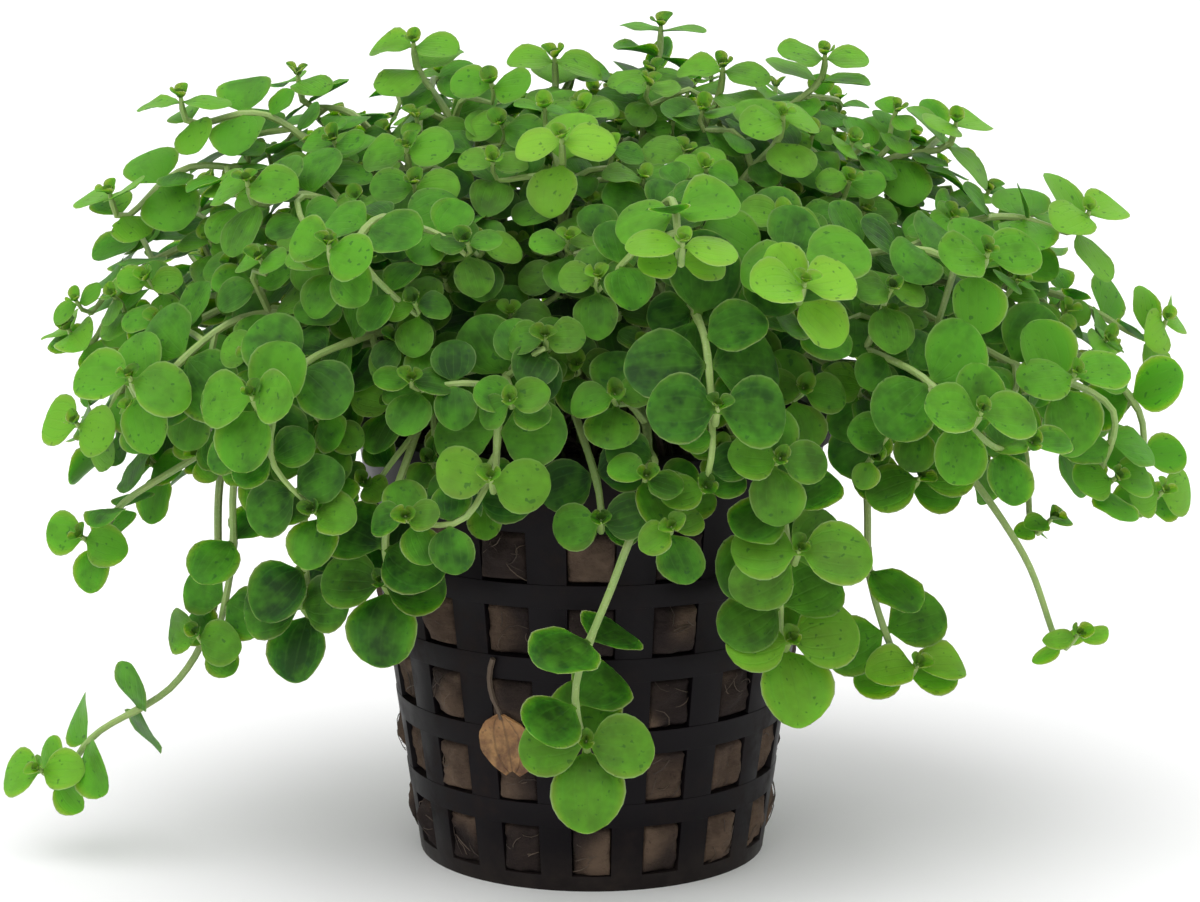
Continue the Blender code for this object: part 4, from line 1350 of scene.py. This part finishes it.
def freshness_and_painted_shade(leaf, least, gain, spread, rng):
    """How fresh a leaf's green is, from its place between the cushion's middle and its outside: inner leaves
    are partly older and partly darkened with painted shade.
    """
    point = leaf.at(0.5, 0)
    level = max(0.0, point.z - CUSHION_MIDDLE) / CUSHION_RISE
    across = (point.x / CUSHION_RADIUS_X) ** 2 + (point.y / CUSHION_RADIUS_Y) ** 2
    outwardness = min(1.0, math.sqrt(across + level**2))
    return least + gain * outwardness**GREEN_CURVE + rng.uniform(-spread, spread)


class Foliage(Growth):
    """One shoot's leaves and stems, gathered into one mesh."""

    def __init__(self, name, blade, rng):
        super().__init__()
        self.blade = blade
        self.rng = rng
        self.bright = BRIGHT_SHOOTS.get(name, 0.0)
        # How much painted shade darkens this shoot's leaves.
        self.dark = SHADE_PAINTED_SHOOTS.get(name, 0.0)
        self.narrowed = NARROW_SHOOTS.get(name, 1.0)

    def add_leaf(self, leaf, tint, young, cupped, narrowed=1.0):
        """Adds one blade. Leaves at the cushion's sides are painted lighter as painted light, and those in
        its middle below the sunlit heights are painted darker as painted shade.
        """
        sunlit = float(np.interp(leaf.foot.z, SUNLIT_HEIGHTS, (0.0, 1.0)))
        tint += SIDE_PAINTED_LIGHT * (leaf.foot.x / CUSHION_RADIUS_X) ** 2 - MIDDLE_PAINTED_SHADE * (1 - sunlit)
        points, faces, uvs, under = self.blade
        bent = bent_blade(points, self.rng, cupped)
        bent[:, 0] *= narrowed
        axes = np.array([tuple(-leaf.side), tuple(leaf.along), tuple(leaf.face)])
        placed = np.array(tuple(leaf.foot)) + (bent * leaf.length) @ axes
        marks = np.stack([np.full(len(points), tint), np.full(len(points), young), under], axis=1)
        self.add(placed, faces, uvs, marks)

    def add_stem_tube(self, line, radii, sides, pale, variety):
        """Adds a round stem, from its radius and how pale it is at each point of its line."""
        points, faces, uvs = tube(line, radii, sides)
        marks = np.zeros((len(points), 3))
        marks[:, 0] = np.repeat(pale, sides) * self.rng.uniform(*variety)
        self.add(points, faces, uvs, marks, 1)

    def add_main_stem(self, route, pairs):
        """A smooth stem from inside the plug to the tip, with a swelling at each pair of leaves."""
        line = [route[0] - UP * STEM_SUNK, *route]
        step = (route[1] - route[0]).length
        length = route_length(route)
        nodes = [length - from_tip for from_tip in NODES_FROM_TIP[:pairs]]
        radii, pale = [], []
        least, gain = STEM_PALE
        for index in range(len(line)):
            at = max(0.0, (index - 1) * step)
            share = at / length
            near = min(abs(at - place) for place in nodes)
            swell = 1 + (NODE_SWELL - 1) * max(0.0, 1 - near / (NODE_REACH * STEM_STEP))
            radii.append((STEM_FOOT_RADIUS + (STEM_TIP_RADIUS - STEM_FOOT_RADIUS) * share) * swell)
            pale.append(min(1.0, least + gain * share))
        radii[-1] *= STEM_END
        self.add_stem_tube(line, radii, ROUND_SIDES, pale, STEM_VARIETY)

    def add_side_stem(self, route):
        """A thin smooth stem from inside the main stem to the tip."""
        foot, tip = SIDE_STEM_RADII
        total = len(route) - 1
        radii = [foot + (tip - foot) * step / total for step in range(total + 1)]
        self.add_stem_tube(route, radii, ROUND_SIDES - 1, [1.0] * len(route), SIDE_STEM_VARIETY)

    def add_main_leaves(self, plan):
        for rank, pair in plan.items():
            for leaf in pair:
                tint = freshness_and_painted_shade(leaf, *MAIN_GREEN, self.rng) + BRIGHT_GREEN * self.bright - self.dark
                young = self.bright * YOUNG_IF_BRIGHT[rank] + YOUNG_BY_RANK[rank] - self.dark
                young = max(0.0, young) * self.rng.uniform(*YOUNG_VARIETY)
                self.add_leaf(leaf, tint, young, CUPPED, self.narrowed)

    def add_old_leaves(self, leaves):
        for leaf in leaves:
            tint = freshness_and_painted_shade(leaf, *OLD_GREEN, self.rng) - SHADED_BY_DARK * self.dark
            self.add_leaf(leaf, max(0.0, tint), 0.0, OLD_CUPPED)

    def add_side_leaves(self, leaves):
        for rank, kept in leaves.items():
            for leaf in kept:
                tint = freshness_and_painted_shade(leaf, *SIDE_GREEN, self.rng) - SHADED_BY_DARK * self.dark
                young = YOUNG_BY_RANK[rank] * self.rng.uniform(*SIDE_YOUNG_VARIETY)
                self.add_leaf(leaf, tint, young, CUPPED)

    def add_bud(self, route):
        tint, young = (least + gain * self.bright for least, gain in (BUD_GREEN, BUD_YOUNG))
        for leaf in bud_leaves(route, self.rng):
            self.add_leaf(leaf, tint, young, BUD_CUPPED)


def grow_shoots():
    """Every shoot as one mesh that replaces its solid."""
    rng = random.Random(SEED)
    shoots = []
    for name, pairs, size, *points in LISTED_SHOOTS:
        shoots.append((name, [Vector(point) for point in points], pairs, size))
    shoots += cushion_shoots(shoots, rng)
    routes = route_stems(shoots, rng)
    plans = plan_leaves(shoots, routes, rng)

    rng = random.Random(GROWTH_SEED)
    crowd = Crowd(shoots, routes)
    middles = []
    for number, plan in enumerate(plans):
        for pair in plan.values():
            for leaf in pair:
                crowd.add(leaf, number)
                middles.append(leaf.at(0.5, 0))
    tips = [points[-1] for _, points, _, _ in shoots[:len(LISTED_SHOOTS)]]
    listed_tips = [tip for tip in tips if tip.y < LISTED_NEAR]
    sides = grow_side_shoots(routes, crowd, middles, listed_tips, rng)
    old = plan_old_leaves(shoots, routes, crowd, rng)

    blade = leaf_blade()
    finishes = (leaf_finish(), stem_finish())
    for number, ((name, _, pairs, _), route) in enumerate(zip(shoots, routes)):
        foliage = Foliage(name, blade, rng)
        foliage.add_main_stem(route, pairs)
        foliage.add_main_leaves(plans[number])
        foliage.add_old_leaves(old[number])
        own_sides = [(side, leaves) for owner, side, leaves in sides if owner == number]
        for side, leaves in own_sides:
            foliage.add_side_stem(side)
            foliage.add_side_leaves(leaves)
        for tip in (route, *(side for side, _ in own_sides)):
            foliage.add_bud(tip)
        piece = foliage.piece(f"{name}_foliage", finishes)
        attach(piece, "root")
        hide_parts(name)


def column_at(place):
    """Which column of windows a place lies on, as a number that is whole in a column's middle."""
    return (math.atan2(place.y, place.x) + math.pi / 2) / COLUMN_PITCH


def window_at(middle):
    """Whether a place on the pot's wall is in a window."""
    row = (middle.z - WINDOW_SILL) / ROW_PITCH
    in_row = 0 <= row < ROWS and (row % 1) * ROW_PITCH < WINDOW_TALL
    column = column_at(middle)
    return in_row and abs(column - round(column)) * 2 < WINDOW_SHARE


def slot_at(middle):
    """Whether a place on the pot's base is in a slot."""
    column = column_at(middle) - 0.5
    nearest = COLUMNS_PER_SLOT * round(column / COLUMNS_PER_SLOT)
    is_spoke = abs(column - nearest) * 2 < 1 - WINDOW_SHARE
    return SLOT_INNER_RADIUS < math.hypot(middle.x, middle.y) < SLOT_OUTER_RADIUS and not is_spoke


def on_band(middle, normal):
    """Whether a face is on the wall's outer side, between two rows of windows."""
    outward = normal.x * middle.x + normal.y * middle.y > OUTER_SIDE * math.hypot(middle.x, middle.y)
    row = (middle.z - WINDOW_SILL) / ROW_PITCH
    return outward and 0 < row < BAND_ROWS and (row % 1) * ROW_PITCH > WINDOW_TALL


def on_lip(middle, normal):
    """Whether a face is on the outer side of the collar's top."""
    outward = normal.x * middle.x + normal.y * middle.y > 0
    return outward and middle.z > POT_TALL - LIP_TALL and normal.z < OUTER_SIDE


def widen_ribs(pot):
    """Turns the cone's corners so that of each column's five spans, three make a window and two a rib."""
    even_edge = WINDOW_SPANS / SPANS / 2
    edge = WINDOW_SHARE / 2
    for corner in pot.data.vertices:
        column = round(column_at(corner.co))
        off_middle = column_at(corner.co) - column
        turned = float(np.interp(off_middle, (-0.5, -even_edge, even_edge, 0.5), (-0.5, -edge, edge, 0.5)))
        angle = (column + turned) * COLUMN_PITCH - math.pi / 2
        flat = math.hypot(corner.co.x, corner.co.y)
        corner.co = (flat * math.cos(angle), flat * math.sin(angle), corner.co.z)


def moulded_pot(finish):
    """The pot: a cone with windows cut out, a slotted base, raised bands and a rolled lip."""
    bpy.ops.object.select_all(action="DESELECT")
    segments = COLUMNS * SPANS
    bpy.ops.mesh.primitive_cone_add(
        vertices=segments, radius1=POT_BASE_RADIUS * MM, radius2=POT_TOP_RADIUS * MM, depth=POT_TALL * MM,
        end_fill_type="NOTHING", location=(0, 0, POT_TALL * MM / 2), rotation=(0, 0, math.pi / segments),
    )
    pot = bpy.context.object
    pot.name = "moulded_pot"
    bpy.ops.object.transform_apply(location=True, rotation=True, scale=True)
    widen_ribs(pot)
    edit(pot)
    sills = [WINDOW_SILL + row * ROW_PITCH for row in range(ROWS)]
    levels = [level for sill in sills for level in (sill, sill + WINDOW_TALL)]
    for level in (POT_TALL - LIP_TALL, *levels):
        bpy.ops.mesh.select_all(action="SELECT")
        bpy.ops.mesh.bisect(plane_co=(0, 0, level * MM), plane_no=(0, 0, 1))
    pick_foot(pot)
    bpy.ops.mesh.edge_face_add()
    pick(pot, lambda middle, normal: middle.z < BASE_LEVEL)
    bpy.ops.mesh.inset(thickness=(POT_BASE_RADIUS - SLOT_OUTER_RADIUS) * MM)
    bpy.ops.mesh.inset(thickness=(SLOT_OUTER_RADIUS - SLOT_INNER_RADIUS) * MM)
    mend_normals()
    pick(pot, lambda middle, normal: slot_at(middle) if middle.z < BASE_LEVEL else window_at(middle))
    bpy.ops.mesh.delete(type="FACE")
    object_mode()
    wall = max(pot.data.polygons, key=lambda face: face.center.z)
    if wall.normal.dot(wall.center) < 0:
        pot.data.flip_normals()
    apply_modifier(pot, "SOLIDIFY", thickness=POT_WALL * MM, offset=-1.0, use_even_offset=True)
    edit(pot)
    for wanted, proud in ((on_band, BAND_PROUD), (on_lip, LIP_WIDE)):
        pick(pot, wanted)
        bpy.ops.mesh.extrude_region_shrink_fatten(TRANSFORM_OT_shrink_fatten={"value": proud * MM})
    object_mode()
    apply_modifier(
        pot, "BEVEL", width=EDGE_ROUND * MM, segments=2, limit_method="ANGLE",
        angle_limit=math.radians(ROUNDED_EDGES), use_clamp_overlap=True,
    )
    smooth_with(pot, finish, PLASTIC_SHARP)
    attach(pot, "root")
    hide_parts("net_pot")


def plug_radius(z):
    return pot_radius(z) - POT_WALL - GAP


def wool_bulge(place, swells):
    """How far the plug swells through the nearest window at a place on its side."""
    column = round(column_at(place))
    row = math.floor((place.z - WINDOW_SILL + (ROW_PITCH - WINDOW_TALL) / 2) / ROW_PITCH)
    if not 0 <= row < ROWS:
        return 0.0
    middle = WINDOW_SILL + row * ROW_PITCH + WINDOW_TALL / 2
    aside = abs(column_at(place) - column) * 2 / WINDOW_SHARE
    above = abs(place.z - middle) * 2 / WINDOW_TALL
    if aside > 1 or above > 1:
        return 0.0
    inside = min(1.0, (1 - max(aside, above)) / GROOVE)
    dome = math.cos(aside * math.pi / 2) * math.cos(above * math.pi / 2)
    swell = BULGE + BULGE_SPREAD * swells[(column % COLUMNS) * ROWS + row]
    return inside * inside * (3 - 2 * inside) * (WOOL_FLUSH + swell * dome**DOME_CURVE)


def plug_profile(low):
    """The plug's outline from the middle of its base up to its peak, as (radius, height)."""
    count = round((WOOL_SHOULDER - low) / WOOL_LEVEL)
    heights = [low + (WOOL_SHOULDER - low) * step / count for step in range(count + 1)]
    profile = [(plug_radius(low) * step / BASE_RINGS, low) for step in range(BASE_RINGS)]
    profile += [(plug_radius(z), z) for z in heights]
    top = [(plug_radius(WOOL_SHOULDER), WOOL_SHOULDER), *WOOL_TOP, (0.0, WOOL_PEAK)]
    for (near, near_z), (far, far_z) in zip(top, top[1:]):
        for step in range(1, TOP_RINGS + 1):
            share = step / TOP_RINGS
            profile.append((near + (far - near) * share, near_z + (far_z - near_z) * share))
    return profile


def roughen(mesh, low, swells):
    """Roughens the plug and presses it out through the windows."""
    least, gain = ROUGH_SIDE
    for point in mesh.vertices:
        place = point.co / MM
        flat = Vector((place.x, place.y, 0))
        rough = noise.fractal(place * ROUGH_SCALE, *ROUGH_SETTINGS)
        if place.z > WOOL_SHOULDER - TOUCH:
            point.co = (place + UP * ROUGH_TOP * rough) * MM
        elif place.z > low + TOUCH or flat.length > plug_radius(low) - TOUCH:
            swell = wool_bulge(place, swells)
            out = swell + rough * (least + gain * min(1.0, swell))
            point.co = (place + flat.normalized() * out) * MM


def wool_plug(finish, swells):
    """The plug, spun from its profile."""
    low = POT_FLOOR + GAP
    mesh = bpy.data.meshes.new("wool_plug")
    points = [(radius * MM, 0, z * MM) for radius, z in plug_profile(low)]
    mesh.from_pydata(points, [(step, step + 1) for step in range(len(points) - 1)], [])
    plug = bpy.data.objects.new("wool_plug", mesh)
    bpy.context.scene.collection.objects.link(plug)
    edit(plug)
    bpy.ops.mesh.select_all(action="SELECT")
    bpy.ops.mesh.spin(steps=WOOL_STEPS, angle=math.tau, center=(0, 0, 0), axis=(0, 0, 1))
    bpy.ops.mesh.select_all(action="SELECT")
    bpy.ops.mesh.remove_doubles(threshold=WOOL_MERGE * MM)
    mend_normals()
    object_mode()
    roughen(mesh, low, swells)
    mesh.polygons.foreach_set("use_smooth", [True] * len(mesh.polygons))
    mesh.materials.append(finish)
    mesh.update()
    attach(plug, "root")
    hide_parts("rock_wool")


def heading(angle):
    return Vector((math.cos(angle), math.sin(angle), 0))


def add_strand(growth, points, radius, shade, pale, sides=3):
    """A thin tube that is half as thick at its ends."""
    radii = [radius] * len(points)
    radii[0] = radii[-1] = radius * 0.5
    corners, faces, uvs = tube(points, radii, sides)
    growth.add(corners, faces, uvs, np.tile((shade, pale, 0.0), (len(corners), 1)))


def window_strand(growth, swells, rng):
    """A strand that lies over the wool in one of the windows."""
    column = rng.randrange(COLUMNS)
    row = rng.randrange(ROWS)
    around = (column + rng.uniform(-FIBRE_ASIDE, FIBRE_ASIDE)) * COLUMN_PITCH - math.pi / 2
    z = WINDOW_SILL + row * ROW_PITCH + WINDOW_TALL * rng.uniform(*FIBRE_ABOVE)
    slope = rng.uniform(-1, 1) * math.pi
    reach = rng.uniform(*FIBRE_REACH)
    bend = rng.uniform(-FIBRE_BEND, FIBRE_BEND)
    least, arch = FIBRE_LIFT
    points = []
    for step in range(-2, 3):
        share = step / 2
        turn = slope + bend * share
        place_z = z + math.sin(turn) * reach * share
        out = heading(around + math.cos(turn) * reach * share / pot_radius(z))
        probe = out * plug_radius(place_z)
        probe.z = place_z
        points.append(probe + out * (wool_bulge(probe, swells) + least + arch * (1 - share**2)))
    radius = rng.uniform(*FIBRE_RADII)
    shade = rng.uniform(*FIBRE_SHADES)
    add_strand(growth, points, radius, shade, FIBRE_PALEST * rng.random() ** PALE_CURVE)


def top_strand(growth, rng):
    """A strand that lies on the plug's top, under the leaves."""
    spread, widest = TOP_FIBRE_SPREAD
    fall, fall_radius = TOP_FALL
    lift, arch = TOP_LIFT
    radius = spread * math.sqrt(rng.random())
    start = heading(rng.uniform(0, math.tau)) * radius
    ahead = heading(rng.uniform(0, math.tau))
    reach = rng.uniform(*TOP_FIBRE_REACH)
    points = []
    for step in range(-2, 3):
        share = step / 2
        place = start + ahead * reach * share
        if place.length > widest:
            place *= widest / place.length
        level = WOOL_PEAK - fall * (place.length / fall_radius) ** 2
        place.z = level + lift + arch * (1 - share**2) * rng.random()
        points.append(place)
    add_strand(growth, points, rng.uniform(*TOP_FIBRE_RADII), rng.uniform(*FIBRE_SHADES), 0.0)


def old_runner(growth, rng):
    """An old brown runner that arches over the plug by the rim, in front."""
    out = heading(rng.uniform(*RUNNER_ARC))
    radius, height = RUNNER_START
    start = out * radius + UP * height
    aside = Vector((-out.y, out.x, 0)) * rng.uniform(-RUNNER_ASIDE, RUNNER_ASIDE)
    out = out * rng.uniform(*RUNNER_OUT)
    top = rng.uniform(*RUNNER_RISE)
    turns = [start + UP * top * rise + aside * across + out * ahead for rise, across, ahead in RUNNER_TURNS]
    rise, across, ahead = RUNNER_END
    route = smooth_route([start, *turns, start + UP * rise + aside * across + out * ahead])
    radius = rng.uniform(*RUNNER_RADII)
    add_strand(growth, route, radius, rng.uniform(*RUNNER_SHADES), RUNNER_PALE, RUNNER_SIDES)


def loose_fibres(finish, swells):
    """Strands that lie over the plug in the windows and on its top, and old brown runners by the rim."""
    rng = random.Random(FIBRE_SEED)
    growth = Growth()
    for _ in range(WINDOW_FIBRES):
        window_strand(growth, swells, rng)
    for _ in range(TOP_FIBRES):
        top_strand(growth, rng)
    for _ in range(RUNNERS):
        old_runner(growth, rng)
    piece = growth.piece("loose_fibres", (finish,))
    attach(piece, "root")


def before_wall(x, z, stand):
    """A place in front of the pot's wall, this far off its bands."""
    reach = pot_radius(z) + BAND_PROUD + stand
    return Vector((x, -math.sqrt(reach**2 - x**2), z))


def dead_leaf(finish):
    """The withered leaf: a crumpled blade against the wall, hanging from its dry stalk."""
    bpy.ops.object.select_all(action="DESELECT")
    columns, rows = DEAD_GRID
    bpy.ops.mesh.primitive_grid_add(x_subdivisions=columns, y_subdivisions=rows, size=2)
    leaf = bpy.context.object
    leaf.name = "dead_leaf"
    spine_x, spine_z = zip(*DEAD_SPINE)
    places = np.linspace(0, 1, len(DEAD_SPINE))
    height, scale = DEAD_CREASE
    for point in leaf.data.vertices:
        share = (1 - point.co.y) / 2
        across = point.co.x
        x = float(np.interp(share, places, spine_x)) + across * float(np.interp(share, *zip(*DEAD_WIDTHS)))
        z = float(np.interp(share, places, spine_z)) - DEAD_SAG * abs(across) * share
        crease = height * noise.noise(Vector((x * scale, z * scale, 3.0)))
        stand = DEAD_STAND + DEAD_CURL * across**2 + crease + DEAD_LIFT * share**3
        point.co = before_wall(x, z, stand) * MM
    apply_modifier(leaf, "SOLIDIFY", thickness=DEAD_THICK * MM, offset=0.0)
    edit(leaf)
    mend_normals()
    object_mode()
    smooth_with(leaf, finish, DEAD_SHARP)
    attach(leaf, "root")
    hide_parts("withered_leaf")


def dry_stalk(finish):
    """The dead leaf's thin brown stalk."""
    rng = random.Random(STALK_SEED)
    growth = Growth()
    route = smooth_route([before_wall(x, z, DEAD_STAND) for x, z in STALK_ROUTE])
    least, spread = STALK_RADII
    corners, faces, uvs = tube(route, [least + spread * rng.random() for _ in route], STALK_SIDES)
    growth.add(corners, faces, uvs, np.tile(STALK_MARK, (len(corners), 1)))
    piece = growth.piece("dry_stalk", (finish,))
    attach(piece, "root")


def pale_floor():
    bpy.ops.object.select_all(action="DESELECT")
    bpy.ops.mesh.primitive_plane_add(size=FLOOR_SIZE, location=(0, 0, 0))
    floor = bpy.context.object
    floor.name = "pale_floor"
    finish = Finish("pale_floor", FLOOR_PALE, roughness=0.9)
    finish.set("Specular IOR Level", 0.0)
    floor.data.materials.append(finish.done())


def far_light(name, towards, spread, strength):
    """A wide soft light from far off, which is as strong on the far floor as on the plant."""
    light = bpy.data.lights.new(name, "SUN")
    light.angle = math.radians(spread)
    light.energy = strength
    made = bpy.data.objects.new(name, light)
    made.rotation_euler = (-Vector(towards)).to_track_quat("-Z", "Y").to_euler()
    bpy.context.scene.collection.objects.link(made)


def studio():
    world = bpy.data.worlds.new("studio")
    world.use_nodes = True
    background = world.node_tree.nodes["Background"]
    background.inputs["Color"].default_value = SKY_WHITE
    background.inputs["Strength"].default_value = SKY_STRENGTH
    bpy.context.scene.world = world
    far_light("key", *KEY_LIGHT)
    far_light("rim", *RIM_LIGHT)
    bpy.context.scene.view_settings.view_transform = "Standard"


def photo_camera():
    camera = bpy.data.cameras.new("photo_camera")
    camera.lens = CAMERA_LENS
    camera.sensor_width = CAMERA_SENSOR
    made = bpy.data.objects.new("photo_camera", camera)
    tilt = math.radians(CAMERA_TILT)
    ahead = Vector((0, math.cos(tilt), -math.sin(tilt)))
    made.location = Vector(CAMERA_AIM) - ahead * CAMERA_DISTANCE
    made.rotation_euler = ahead.to_track_quat("-Z", "Y").to_euler()
    bpy.context.scene.collection.objects.link(made)
    bpy.context.scene.camera = made


photo_camera()
studio()
pale_floor()
fibres = fibre_finish()
grow_shoots()
moulded_pot(plastic_finish())
wool_rng = random.Random(WOOL_SEED)
window_swells = [wool_rng.uniform(-1, 1) for _ in range(COLUMNS * ROWS)]
wool_plug(wool_finish(), window_swells)
loose_fibres(fibres, window_swells)
dead_leaf(dead_leaf_finish())
dry_stalk(fibres)
